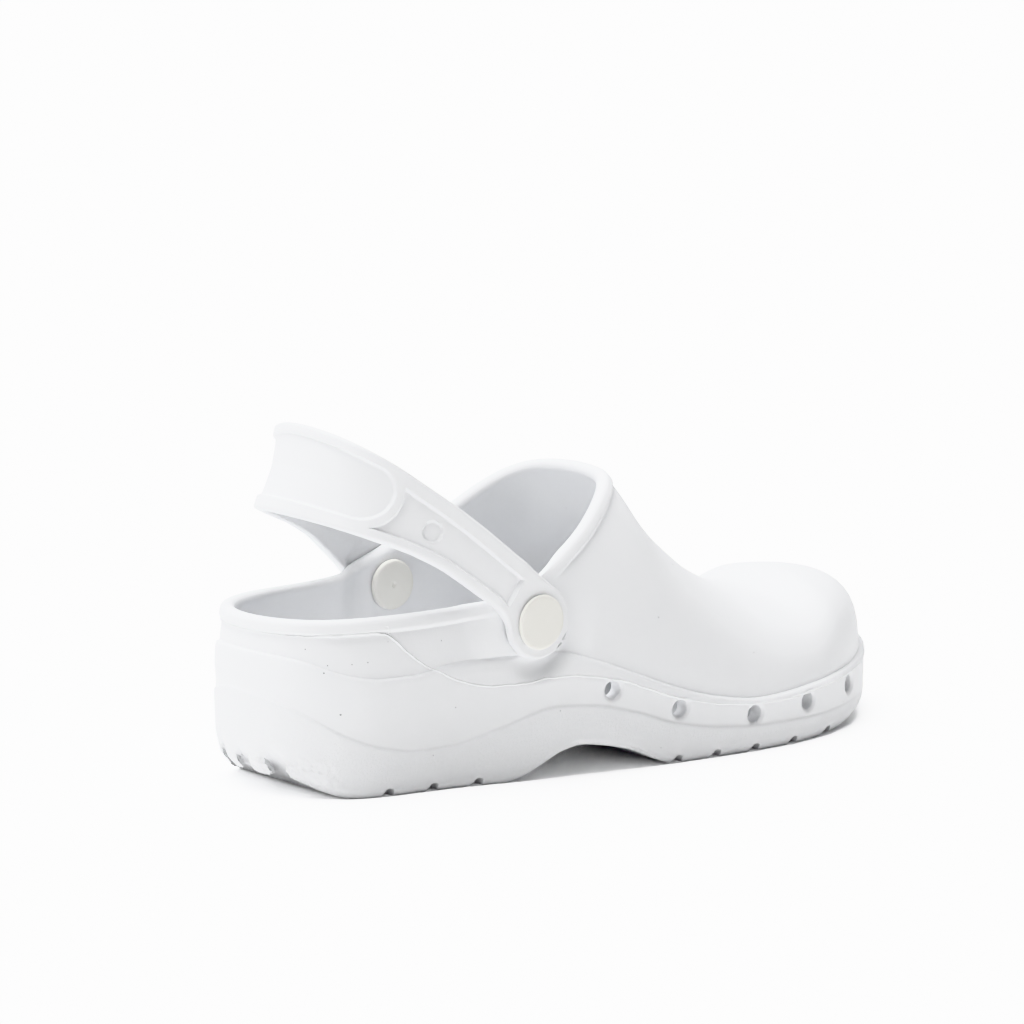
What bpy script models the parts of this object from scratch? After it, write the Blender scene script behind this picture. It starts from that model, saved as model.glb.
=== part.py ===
"""Medical clog for the right foot: a one-piece moulded shell, an insole and a heel strap on two rivets.

Metres, +X towards the toe, +Y towards the inner side of the foot, +Z up. The tables give millimetres at the
base size, with x measured from the back of the heel, and sized() fits them to the part's own length, width
and height. Walls, holes, grooves and the strap's section keep their own sizes. place() moves the origin
under the heel.
"""

import math

import bmesh
import bpy
import numpy as np

MM = 0.001
BASE_LENGTH = 283.0  # length, width and height that the tables are written for, in millimetres
BASE_WIDTH = 102.0
BASE_HEIGHT = 100.0

LENGTH = 283.0
WIDTH = 102.0
HEIGHT = 100.0  # ground to the top of the collar
LONG, WIDE, TALL = LENGTH / BASE_LENGTH, WIDTH / BASE_WIDTH, HEIGHT / BASE_HEIGHT
HEEL_REST_X = 47.0 * LONG  # the origin: the middle of a heel lug

WALL = 4.2  # thickness of the upper
SOLE_WALL = 6.6  # from the side of the sole to the cavity
FLOOR_FILLET = 3.6
COLUMNS = 92  # round the shell
GAP = 0.3  # between two pieces
REAR_BEVEL = 34.0 * LONG  # how far the bevel under the heel's back runs forwards
WAVE_END = (215.0 * LONG, 50.0 * LONG)  # where the wave's step starts to fade, and over what length

# Rim of the collar: a bead outside and a rounded lip
BEAD_WIDTH = 5.0
BEAD_HEIGHT = 0.9

INSOLE_THICKNESS = 2.8
INSOLE_COLUMNS = 64

RIVET_X = 95.0 * LONG
RIVET_Z = 55.6 * TALL
PAD_Y = 41.6 * WIDE  # the flat that each rivet sits on, from the middle plane
PAD_RADIUS = 13.5
PAD_FADE = 13.0
POST_RADIUS = 3.2
BORE_RADIUS = 3.5
CAP_RADIUS = 9.5
CAP_HEIGHT = 1.6
BUTTON_RADIUS = 8.8
BUTTON_HEIGHT = 2.0

VENT_RADIUS = 3.15
GROOVE_WIDTH = 5.9
GROOVE_DEPTH = 3.0
FLUTE_RADIUS = 2.3

STRAP_RISE = 37.5  # degrees above level, going back from the rivets
STRAP_REACH = 92.0 * LONG  # rivet axis to the back of the strap
STRAP_BACK_RADIUS = 34.0 * WIDE
STRAP_THICKNESS = 4.3
STRAP_BOSS_THICKNESS = 3.2
BOSS_RADIUS = 13.0
ARM_STRAIGHT = 17.0  # the boss is level with the shell's side up to here
BACK_LEAN = 18.0  # degrees
ARM_RIMS = (6.0, 4.0)  # plain margins above and below the panels
BACK_RIMS = (3.4, 5.0)
RECESS_DEPTH = 1.2


def sized(rows, *factors):
    """A table whose columns are multiplied by the factors."""
    return tuple(tuple(value * factor for value, factor in zip(row, factors)) for row in rows)


# Plan of the sole at its widest level: x, y
OUTLINE = sized(
    (
        (0, 0),
        (3.3, -15),
        (10.3, -25.2),
        (22, -32.7),
        (45, -37.2),
        (64, -38.7),
        (80, -41.2),
        (103, -45.9),
        (119, -48),
        (137, -49.3),
        (160, -50),
        (185, -50),
        (202, -49),
        (217, -46.6),
        (232, -42.2),
        (246, -35.8),
        (260, -25.6),
        (272, -12.6),
        (280.5, 0),
        (283, 10),
        (280.5, 22),
        (272.5, 34),
        (258, 43.5),
        (240, 49.5),
        (220, 52),
        (198, 52),
        (175, 50.2),
        (150, 47),
        (125, 45.2),
        (95, 43.4),
        (80, 40.8),
        (64, 38.7),
        (45, 36.9),
        (22, 32.7),
        (10.3, 25.2),
        (3.3, 15),
    ),
    LONG,
    WIDE,
)

# Under the sole: x, height
GROUND = sized(
    (
        (0, 6.6),
        (8, 5.2),
        (15, 2.6),
        (22, 0.5),
        (27, 0),
        (84, 0),
        (91, 1.6),
        (98, 5.0),
        (107, 9.4),
        (114, 10.7),
        (122, 9.7),
        (131, 7.9),
        (138, 5.7),
        (145, 2.6),
        (151, 0.6),
        (156, 0),
        (214, 0),
        (230, 0.6),
        (250, 2.4),
        (265, 4.8),
        (283, 8.0),
    ),
    LONG,
    TALL,
)

# Side of the sole: x, wave (top of the textured band), crease (foot of the upper), drop (shoulder under the
# crease), inset (depth of the crease)
SOLE_SIDE = sized(
    (
        (0, 36.0, 50.0, 8.0, 1.7),
        (8, 31.0, 48.3, 8.0, 1.7),
        (22, 22.2, 43.0, 7.0, 1.7),
        (36, 17.0, 40.7, 6.0, 1.8),
        (50, 14.9, 41.0, 6.5, 1.9),
        (64, 15.4, 43.5, 8.0, 2.0),
        (83, 20.0, 44.6, 9.5, 2.0),
        (103, 25.3, 44.0, 9.0, 2.0),
        (119, 24.2, 40.2, 6.5, 2.1),
        (136, 20.1, 33.8, 4.5, 2.2),
        (153, 14.6, 27.4, 3.6, 2.2),
        (171, 11.2, 22.1, 2.8, 2.2),
        (193, 9.3, 18.9, 2.6, 2.2),
        (222, 8.9, 20.3, 2.6, 2.2),
        (250, 9.8, 22.6, 2.6, 2.2),
        (283, 12.0, 25.6, 2.6, 2.2),
    ),
    LONG,
    TALL,
    TALL,
    TALL,
    1,
)

# Upper: x, spine height, side and top exponents. Over the opening the height only guides the sides' lean
SPINE = sized(
    (
        (38, 150.0, 2.0, 1.25),
        (60, 146.0, 2.0, 1.25),
        (90, 135.0, 2.0, 1.30),
        (112, 124.0, 2.0, 1.45),
        (128, 114.5, 2.0, 1.70),
        (139, 107.0, 2.0, 1.90),
        (147.3, 99.8, 2.0, 2.00),
        (154, 89.8, 2.1, 2.05),
        (162, 80.4, 2.1, 2.10),
        (172, 71.2, 2.2, 2.10),
        (182, 63.6, 2.2, 2.10),
        (194, 57.2, 2.1, 2.05),
        (206, 52.0, 2.0, 2.00),
        (222, 49.2, 2.0, 2.00),
        (240, 52.0, 2.4, 2.70),
    ),
    LONG,
    TALL,
    1,
    1,
)
HEEL_FOCUS, TOE_FOCUS = SPINE[0][0], SPINE[-1][0]

# Collar seen from the side: x, height
COLLAR = sized(
    (
        (0, 61.3),
        (30, 61.5),
        (50, 61.6),
        (64, 62.0),
        (78, 64.0),
        (97, 70.8),
        (109, 77.6),
        (119, 84.2),
        (128, 90.8),
        (135, 95.4),
        (141.5, 98.4),
        (147.3, 99.8),
    ),
    LONG,
    TALL,
)
COLLAR_FRONT = COLLAR[-1][0]

# Where the upper's columns start on the sole and end on the rim, both by x
FAN = sized(((0, 0), (60, 60), (95, 92), (185, 135), (283, 147.3)), LONG, LONG)

# Floor of the cavity, under the insole: x, height
FLOOR = sized(
    (
        (0, 34.5),
        (30, 33.0),
        (50, 32.2),
        (80, 27.6),
        (102, 22.4),
        (126, 15.8),
        (150, 10.2),
        (175, 7.3),
        (200, 6.9),
        (225, 7.4),
        (250, 9.2),
        (283, 13.0),
    ),
    LONG,
    TALL,
)

# Edges of the strap over the line through the rivets: distance back, upper edge, lower edge
STRAP_EDGES = sized(
    (
        (0, 13.0, -13.0),
        (5, 12.9, -12.0),
        (8, 12.9, -10.2),
        (11, 12.9, -7.9),
        (15, 13.0, -6.5),
        (21, 13.3, -5.8),
        (38, 14.4, -5.8),
        (52, 14.7, -7.6),
        (66, 14.3, -11.2),
        (90, 13.5, -17.6),
    ),
    LONG,
    1,
    1,
)

# Vents on each side: x, height
VENTS = sized(((125.6, 29.1), (155.4, 19.3), (189.4, 13.5), (216.4, 14.6), (243.8, 16.2)), LONG, TALL)
# Grooves across the tread, by x, and flutes up the back of the heel, by y
GROOVES = tuple(x * LONG for x in (38.6, 56.6, 74.2, 154.8, 172.0, 190.0, 209.1, 229.2))
FLUTES = tuple(y * WIDE for y in (-14.5, 0.0, 14.5))
FLUTE_BACK = 36.0 * WIDE  # radius of the heel's back where the flutes start


def smooth(table, x, column=1):
    """A table's column at x, along a curve that doesn't overshoot its rows."""
    xs = np.array([row[0] for row in table], float)
    ys = np.array([row[column] for row in table], float)
    step = np.diff(xs)
    rise = np.diff(ys) / step
    slope = np.zeros(len(xs))
    both = rise[:-1] * rise[1:] > 0
    slope[1:-1][both] = 2 * rise[:-1][both] * rise[1:][both] / (rise[:-1] + rise[1:])[both]
    slope[0], slope[-1] = rise[0], rise[-1]
    x = np.clip(x, xs[0], xs[-1])
    i = np.clip(np.searchsorted(xs, x, side="right") - 1, 0, len(step) - 1)
    t = (x - xs[i]) / step[i]
    return (
        ys[i] * (1 + 2 * t) * (1 - t) ** 2
        + ys[i + 1] * t * t * (3 - 2 * t)
        + step[i] * t * (1 - t) * ((1 - t) * slope[i] - t * slope[i + 1])
    )


def ease(t):
    """0 to 1 with level ends."""
    t = np.clip(t, 0, 1)
    return t * t * (3 - 2 * t)


def closed_spline(points, count):
    """Positions and inward normals along a closed cubic spline. The points run clockwise from above."""
    points = np.array(points, float)
    size = len(points)
    chord = np.linalg.norm(np.roll(points, -1, 0) - points, axis=1)
    before = np.roll(chord, 1)
    matrix = np.zeros((size, size))
    for i in range(size):
        matrix[i, i - 1] = 1 / before[i]
        matrix[i, i] = 2 / before[i] + 2 / chord[i]
        matrix[i, (i + 1) % size] = 1 / chord[i]
    ahead, behind = np.roll(points, -1, 0) - points, points - np.roll(points, 1, 0)
    right = 3 * (ahead / chord[:, None] ** 2 + behind / before[:, None] ** 2)
    tangent = np.linalg.solve(matrix, right)
    at = np.linspace(0, size, count, endpoint=False)
    i = at.astype(int)
    j, t, h = (i + 1) % size, (at - i)[:, None], chord[i][:, None]
    p, q, m, n = points[i], points[j], tangent[i], tangent[j]
    line = p * (1 + 2 * t) * (1 - t) ** 2 + q * t * t * (3 - 2 * t)
    line += h * t * (1 - t) * ((1 - t) * m - t * n)
    along = np.roll(line, -1, 0) - np.roll(line, 1, 0)
    along /= np.linalg.norm(along, axis=1)[:, None]
    return line, np.stack([-along[:, 1], along[:, 0]], 1)


def arc(points):
    """Length along a line of points, starting at 0."""
    return np.concatenate([[0], np.cumsum(np.linalg.norm(np.diff(points, axis=0), axis=1))])


class Plan:
    """The sole's outline as two sides with the same stations, so the columns of both sides share their x."""

    def __init__(self, columns):
        line, normal = closed_spline(OUTLINE, 4000)
        line_closed = np.vstack([line, line[:1]])
        normal_closed = np.vstack([normal, normal[:1]])
        tip = int(np.argmax(line[:, 0]))
        outer = (line_closed[: tip + 1], normal_closed[: tip + 1])
        inner = (line_closed[tip:][::-1], normal_closed[tip:][::-1])
        half = columns // 2
        share = np.linspace(0, 1, half + 1)
        stations = []
        for side, _ in (outer, inner):
            length = arc(side)
            stations.append(np.interp(share * length[-1], length, side[:, 0]))
        self.x = np.mean(stations, axis=0)
        self.half = half
        picked = []
        for side, across in (outer, inner):
            rank = np.interp(self.x, np.maximum.accumulate(side[:, 0]), np.arange(len(side)))
            rank[0], rank[-1] = 0, len(side) - 1
            steps = np.arange(len(side))
            picked.append([np.interp(rank, steps, values) for values in (*side.T, *across.T)])
        outer, inner = np.array(picked[0]), np.array(picked[1])[:, -2:0:-1]
        joined = np.concatenate([outer, inner], axis=1)
        self.points, self.normals = joined[:2].T, joined[2:].T
        self.stations = np.concatenate([self.x, self.x[-2:0:-1]])

    def ring(self, inset, height):
        """A closed row: the outline moved inwards by inset, at this height."""
        moved = self.points + self.normals * np.broadcast_to(inset, len(self.points))[:, None]
        return np.column_stack([moved, np.broadcast_to(height, len(moved))])


class Dome:
    """The upper's outer surface as a height over the plan. Both ends fan out from a focus."""

    def __init__(self):
        plan = Plan(1600)
        base = plan.ring(smooth(SOLE_SIDE, plan.stations, 4), smooth(SOLE_SIDE, plan.stations, 2))
        self.outer, self.inner = base[: plan.half + 1], np.vstack([base[plan.half :], base[:1]])[::-1]
        self.toe = self.fan(TOE_FOCUS, 1)
        self.heel = self.fan(HEEL_FOCUS, -1)

    def middle(self, x):
        """Middle line and half width of the base at x."""
        low = np.interp(x, self.outer[:, 0], self.outer[:, 1])
        high = np.interp(x, self.inner[:, 0], self.inner[:, 1])
        return (low + high) / 2, (high - low) / 2

    def fan(self, focus, way):
        """Angle, radius and height of the base beyond the focus."""
        middle = self.middle(focus)[0]
        base = np.vstack([self.outer, self.inner[1:-1][::-1]])
        base = base[(base[:, 0] - focus) * way > 0.01]
        dx, dy = (base[:, 0] - focus) * way, base[:, 1] - middle
        angle = np.arctan2(dy, dx)
        order = np.argsort(angle)
        return middle, angle[order], np.hypot(dx, dy)[order], base[order, 2]

    def polar(self, x, y):
        """Share of the way out to the base, height of the base there, and x of the axis point."""
        middle, half = self.middle(x)
        share = np.abs(y - middle) / np.maximum(half, 1e-6)
        base = smooth(SOLE_SIDE, x, 2)
        for focus, way, (centre, angle, radius, height) in (
            (TOE_FOCUS, 1, self.toe),
            (HEEL_FOCUS, -1, self.heel),
        ):
            beyond = (x - focus) * way > 0
            dx, dy = (x - focus) * way, y - centre
            turn = np.arctan2(dy, dx)
            share = np.where(beyond, np.hypot(dx, dy) / np.interp(turn, angle, radius), share)
            base = np.where(beyond, np.interp(turn, angle, height), base)
        return np.clip(share, 0, 1), base, np.clip(x, HEEL_FOCUS, TOE_FOCUS)

    def height(self, x, y):
        share, base, axis = self.polar(x, y)
        top, side, crown = (smooth(SPINE, axis, k) for k in (1, 2, 3))
        return base + (top - base) * (1 - share**side) ** (1 / crown)

    def rim(self, side):
        """The collar's line on one side, where the dome meets the collar's height."""
        edge = side[side[:, 0] <= COLLAR_FRONT]
        axis = np.maximum(edge[:, 0], HEEL_FOCUS)
        middle = self.middle(axis)[0]
        share = np.ones(len(edge))
        top, power, crown = (smooth(SPINE, axis, k) for k in (1, 2, 3))
        for _ in range(12):
            x = axis + share * (edge[:, 0] - axis)
            up = np.clip((smooth(COLLAR, x) - edge[:, 2]) / (top - edge[:, 2]), 0, 1)
            share = (1 - up**crown) ** (1 / power)
        x = axis + share * (edge[:, 0] - axis)
        y = middle + share * (edge[:, 1] - middle)
        front = np.array([[COLLAR_FRONT, self.middle(COLLAR_FRONT)[0]]])
        return np.vstack([np.column_stack([x, y]), front])


def upper_rows(plan, dome, shares, tail):
    """Rows of the upper's outer surface: at shares of each column, then at distances short of the rim."""
    rims = []
    for side in (dome.outer, dome.inner):
        line = dome.rim(side)
        length = arc(line)
        at_x = np.interp(smooth(FAN, plan.x[1:-1]), np.maximum.accumulate(line[:, 0]), length)
        at_x = np.concatenate([[0], at_x, [length[-1]]])
        # Near the front the rim turns across the foot, so the last columns are spread by length.
        bend = int(np.searchsorted(plan.x, FAN[-2][0]))
        spread = smooth(((0, at_x[bend]), (1, length[-1])), np.linspace(0, 1, len(at_x) - bend))
        at_x[bend:] = spread
        at_x = np.convolve(np.pad(at_x, 4, mode="edge"), np.ones(9) / 9, "valid")
        at_x[0], at_x[-1] = 0, length[-1]
        rims.append(np.column_stack([np.interp(at_x, length, line[:, k]) for k in (0, 1)]))
    ends = np.vstack([rims[0], rims[1][-2:0:-1]])
    starts = plan.ring(smooth(SOLE_SIDE, plan.stations, 4), 0)[:, :2]
    t = 1 - np.cos(np.linspace(0, math.pi / 2, 160))
    rows = np.empty((len(shares) + len(tail), len(starts), 3))
    for j, (start, end) in enumerate(zip(starts, ends)):
        path = start + (end - start) * t[:, None]
        line = np.column_stack([path, dome.height(path[:, 0], path[:, 1])])
        line[0, 2] = smooth(SOLE_SIDE, plan.stations[j], 2)
        length = arc(line)
        free = length[-1] - tail[0]
        at = np.concatenate([np.array(shares) * free, length[-1] - np.array(tail)])
        rows[:, j] = np.column_stack([np.interp(at, length, line[:, k]) for k in range(3)])
    return rows


def surface_normals(rows):
    """Outward normals of a closed grid of rows that climbs from the sole to the rim."""
    up = np.gradient(rows, axis=0)
    round_ = np.roll(rows, -1, axis=1) - np.roll(rows, 1, axis=1)
    normal = np.cross(up, round_)
    normal /= np.linalg.norm(normal, axis=2)[..., None]
    outward = np.sign((normal[0, :, :2] * (rows[0, :, :2] - rows[0, :, :2].mean(0))).sum())
    return normal * outward


def flatten_pads(points, level, hollow=False):
    """Pulls the wall near each rivet to a flat, this far from the middle. A hollow only goes inwards."""
    away = np.hypot(points[..., 0] - RIVET_X, points[..., 2] - RIVET_Z)
    weight = 1 - ease((away - PAD_RADIUS) / PAD_FADE)
    weight = np.where(np.abs(points[..., 1]) > 25, weight, 0)
    if hollow:
        weight = np.where(np.abs(points[..., 1]) > level, weight, 0)
    target = np.sign(points[..., 1]) * level
    points[..., 1] += weight * (target - points[..., 1])


def shell_rows():
    """Every row of the shell, from the tread up the outside, over the rim and down to the floor."""
    plan, dome = Plan(COLUMNS), Dome()
    x = plan.stations
    ground, floor = smooth(GROUND, x), smooth(FLOOR, x)
    wave, crease, drop, inset = (smooth(SOLE_SIDE, x, k) for k in (1, 2, 3, 4))
    rear = 1 - ease(x / REAR_BEVEL)
    fade = 1 - ease((x - WAVE_END[0]) / WAVE_END[1])
    low = ground + 0.45 * (wave - ground)
    outside = [
        plan.ring(2.4 + 4.6 * rear, ground),
        plan.ring(0.9 + 1.9 * rear, ground + 2.0 + 2.0 * rear),
        plan.ring(0.2 + 0.5 * rear, low),
        plan.ring(0.0, wave - 1.0),
        plan.ring(0.7 * fade, wave + 0.6),
        plan.ring(0.5 * fade, (wave + crease - drop) / 2),
        plan.ring(0.1, crease - drop),
        plan.ring(0.5, crease - 0.45 * drop),
        plan.ring(0.45 * inset + 0.4, crease - 0.15 * drop),
    ]
    shares = (0, 0.06, 0.14, 0.24, 0.35, 0.47, 0.6, 0.74, 0.88)
    rows = upper_rows(plan, dome, shares, (BEAD_WIDTH + 1.4, BEAD_WIDTH, 3.2, 1.6, 0.0))
    normals = surface_normals(rows)
    inner = rows - normals * WALL
    climb = rows[-1] - rows[-2]
    climb /= np.linalg.norm(climb, axis=1)[:, None]
    out = normals[-1]
    bead = [
        rows[-3] + normals[-3] * BEAD_HEIGHT * 0.95 - climb * -0.9,
        rows[-2] + normals[-2] * BEAD_HEIGHT,
        rows[-1] + out * 0.1 - climb * 0.4,
        rows[-1] - out * WALL * 0.42,
        rows[-1] - out * WALL * 0.85 - climb * 0.6,
    ]
    upper = np.concatenate([rows[:-3], bead])
    outside = np.array(outside)
    flatten_pads(outside, PAD_Y, hollow=True)
    lining = inner[[-2, *range(-5, -len(inner) - 1, -1)]]
    depth = np.zeros(len(upper))
    depth[-2:] = 0.42 * WALL, 0.85 * WALL
    flatten_pads(upper, PAD_Y - depth[:, None])
    flatten_pads(lining, PAD_Y - WALL)
    cavity = [
        plan.ring(SOLE_WALL, floor + FLOOR_FILLET),
        plan.ring(SOLE_WALL + 0.3 * FLOOR_FILLET, floor + 0.3 * FLOOR_FILLET),
        plan.ring(SOLE_WALL + FLOOR_FILLET, floor),
    ]
    return [*outside, *upper, *lining, *cavity]


def place(points):
    """Table millimetres to metres in the part's frame."""
    return (np.asarray(points, float) - (HEEL_REST_X, 0, 0)) * MM


def make(name, vertices, faces, collection):
    """An object whose faces point outwards."""
    mesh = bpy.data.meshes.new(name)
    mesh.from_pydata([tuple(v) for v in vertices], [], faces)
    shape = bmesh.new()
    shape.from_mesh(mesh)
    bmesh.ops.recalc_face_normals(shape, faces=shape.faces)
    shape.to_mesh(mesh)
    shape.free()
    obj = bpy.data.objects.new(name, mesh)
    collection.objects.link(obj)
    return obj


def closed_rows(name, rows, collection):
    """A body from closed rows, whose first and last rows are closed straight across the foot."""
    count, columns = len(rows), len(rows[0])
    faces = []
    for i in range(count - 1):
        for j in range(columns):
            k = (j + 1) % columns
            faces.append((i * columns + j, i * columns + k, (i + 1) * columns + k, (i + 1) * columns + j))
    for start in (0, (count - 1) * columns):
        half = columns // 2
        faces.append((start, start + 1, start + columns - 1))
        for j in range(1, half - 1):
            faces.append((start + j, start + j + 1, start + columns - j - 1, start + columns - j))
        faces.append((start + half - 1, start + half, start + half + 1))
    return make(name, place(np.vstack(rows)), faces, collection)


def prism(ends):
    """Vertices and faces of a prism between two outlines with the same number of points."""
    first, last = ends
    size = len(first)
    faces = [tuple(range(size))[::-1], tuple(range(size, 2 * size))]
    faces += [(i, (i + 1) % size, size + (i + 1) % size, size + i) for i in range(size)]
    return [*first, *last], faces


def rod(start, end, radius, sides):
    """A prism round the line from start to end."""
    start, end = np.array(start, float), np.array(end, float)
    axis = (end - start) / np.linalg.norm(end - start)
    side = np.cross(axis, (0, 0, 1))
    side /= np.linalg.norm(side)
    up = np.cross(side, axis)
    turn = [2 * math.pi * (i + 0.5) / sides for i in range(sides)]
    ring = np.array([radius * (math.cos(a) * side + math.sin(a) * up) for a in turn])
    return prism((start + ring, end + ring))


def cutter(name, shapes, collection):
    """One object from several separate closed shapes, kept out of the render."""
    vertices, faces = [], []
    for points, sides in shapes:
        faces += [tuple(i + len(vertices) for i in side) for side in sides]
        vertices += list(points)
    obj = make(name, place(vertices), faces, collection)
    obj.hide_render = True
    obj.display_type = "WIRE"
    return obj


def cut(obj, tool):
    modifier = obj.modifiers.new(tool.name, "BOOLEAN")
    modifier.operation = "DIFFERENCE"
    modifier.object = tool
    modifier.solver = "EXACT"


def vent_shapes():
    """Rods square to the outline, through the side of the sole."""
    plan = Plan(800)
    shapes = []
    for x, height in VENTS:
        for side in (slice(1, plan.half), slice(plan.half + 1, 800)):
            points, normals = plan.points[side], plan.normals[side]
            at = int(np.argmin(np.abs(points[:, 0] - x)))
            edge, inward = np.append(points[at], height), np.append(normals[at], 0)
            shapes.append(rod(edge - inward * 4, edge + inward * (SOLE_WALL + 5), VENT_RADIUS, 16))
    return shapes


def groove_shapes():
    """Grooves right across the tread, steep on the toe's side."""
    shapes = []
    for x in GROOVES:
        top = float(smooth(GROUND, x)) + GROOVE_DEPTH
        half = GROOVE_WIDTH / 2
        low = -3 - GROOVE_DEPTH
        section = ((-half - 1.6, low), (half + 0.6, low), (half - 0.9, 0), (-half + 1.6, 0))
        ends = [[(x + dx, y, top + dz) for dx, dz in section] for y in (-WIDTH, WIDTH)]
        shapes.append(prism(ends))
    return shapes


def flute_shapes():
    """Short grooves up the back of the heel."""
    shapes = []
    for y in FLUTES:
        back = FLUTE_BACK - math.sqrt(FLUTE_BACK**2 - y * y)
        shapes.append(rod((back - 2.2, y, 15.5 * TALL), (back + 19, y, -1.6), FLUTE_RADIUS, 10))
    return shapes


def insole_rows():
    plan = Plan(INSOLE_COLUMNS)
    floor = smooth(FLOOR, plan.stations) + GAP
    edge = SOLE_WALL + FLOOR_FILLET + 0.3
    return [
        plan.ring(edge, floor),
        plan.ring(edge - 2.2, floor + 1.6),
        plan.ring(edge - 2.4, floor + INSOLE_THICKNESS - 0.6),
        plan.ring(edge - 1.6, floor + INSOLE_THICKNESS),
    ]


def strap_stations():
    """For each station: distance back from the rivets, offset to the side, turn of the strap, thickness,
    share of the lean and of the back's margins, recess depth. The outer arm comes first."""
    bend = STRAP_REACH - STRAP_BACK_RADIUS
    radius = STRAP_BACK_RADIUS - STRAP_THICKNESS / 2
    boss = PAD_Y + GAP + STRAP_BOSS_THICKNESS / 2
    # The arm runs straight from the boss to touch the round back.
    reach = math.hypot(boss, bend - ARM_STRAIGHT)
    taper = math.acos(radius / reach) - math.atan2(bend - ARM_STRAIGHT, boss)
    touch = bend + radius * math.sin(taper)
    arm = []
    shares = (-0.994, -0.954, -0.862, -0.662, -0.354, 0, 0.354, 0.615, 0.808, 1.015)
    backs = [share * BOSS_RADIUS for share in shares]
    backs += [ARM_STRAIGHT - 1.6, ARM_STRAIGHT - 0.8, *np.linspace(ARM_STRAIGHT + 5, touch - 3, 6)]
    for back in backs:
        thick = STRAP_BOSS_THICKNESS + (STRAP_THICKNESS - STRAP_BOSS_THICKNESS) * float(ease((back - 9) / 9))
        bent = float(ease((back - ARM_STRAIGHT) / 7 + 0.4))
        offset = boss - max(0.0, back - ARM_STRAIGHT) * math.tan(taper) * bent
        turn = taper * float(ease((back - ARM_STRAIGHT + 3) / 6))
        recess = RECESS_DEPTH if back > ARM_STRAIGHT - 1 else 0.0
        arm.append([back, offset, turn, thick, 0.0, recess])
    stations = [[s[0], -s[1], *s[2:]] for s in arm]
    turns = [taper, math.radians(16)]
    turns += [math.radians(t) for t in (17.5, 22, 23.5, 31, 40, 50, 60, 70, 80, 90)]
    turns += [math.pi - t for t in turns[-2::-1]]
    for turn in turns:
        from_arm = math.degrees(min(turn, math.pi - turn))
        back, offset = bend + radius * math.sin(turn), -radius * math.cos(turn)
        recess = 0.0 if 16.5 < from_arm < 23 else RECESS_DEPTH
        stations.append([back, offset, turn, STRAP_THICKNESS, float(ease((from_arm - 10) / 50)), recess])
    return stations + [[s[0], s[1], math.pi - s[2], *s[3:]] for s in arm[::-1]]


def strap_rows():
    """Sections of the strap in table millimetres."""
    rise = math.radians(STRAP_RISE)
    back = np.array((-math.cos(rise), 0, math.sin(rise)))
    up = np.array((math.sin(rise), 0, math.cos(rise)))
    side = np.array((0.0, 1.0, 0.0))
    axis = np.array((RIVET_X, 0, RIVET_Z))
    rows = []
    for away, offset, turn, thick, lean, recess in strap_stations():
        out = math.sin(turn) * back - math.cos(turn) * side
        tilt = math.radians(BACK_LEAN) * lean
        wide = math.cos(tilt) * up + math.sin(tilt) * out
        out = math.cos(tilt) * out - math.sin(tilt) * up
        middle = axis + away * back + offset * side
        face = thick / 2
        if away < 0:
            top = math.sqrt(BOSS_RADIUS**2 - away**2)
            low = -top
        else:
            top, low = (float(smooth(STRAP_EDGES, away, k)) for k in (1, 2))
        width = top - low
        over, under = (min(0.3 * width, a + (b - a) * lean) for a, b in zip(ARM_RIMS, BACK_RIMS))
        soft, step = min(1.1, 0.15 * width), min(0.8, 0.1 * width)
        section = (
            (top - soft, face),
            (top - over, face),
            (top - over - step, face - recess),
            (low + under + step, face - recess),
            (low + under, face),
            (low + soft, face),
            (low, face - 1.1),
            (low, -face + 1.1),
            (low + soft, -face),
            (top - soft, -face),
            (top, -face + 1.1),
            (top, face - 1.1),
        )
        rows.append([middle + w * wide + o * out for w, o in section])
    return rows


def swept(name, rows, collection):
    """A body through a line of sections, with a flat cap on each end."""
    size = len(rows[0])
    faces = [tuple(range(size))[::-1], tuple(range((len(rows) - 1) * size, len(rows) * size))]
    for i in range(len(rows) - 1):
        for j in range(size):
            k = (j + 1) % size
            faces.append((i * size + j, i * size + k, (i + 1) * size + k, (i + 1) * size + j))
    return make(name, place(np.vstack(rows)), faces, collection)


def turned(name, profile, side, collection, sides=28):
    """A body turned round the rivet axis from (radius, distance from the middle plane), on one side."""
    vertices, faces, rings = [], [], []
    for radius, out in profile:
        if radius == 0:
            rings.append([len(vertices)] * sides)
            vertices.append((RIVET_X, side * out, RIVET_Z))
            continue
        rings.append([len(vertices) + i for i in range(sides)])
        for i in range(sides):
            a = 2 * math.pi * i / sides
            across, up = radius * math.cos(a), radius * math.sin(a)
            vertices.append((RIVET_X + across, side * out, RIVET_Z + up))
    for first, second in zip(rings, rings[1:]):
        for i in range(sides):
            k = (i + 1) % sides
            face = dict.fromkeys((first[i], first[k], second[k], second[i]))
            faces.append(tuple(face))
    return make(name, place(vertices), faces, collection)


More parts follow.
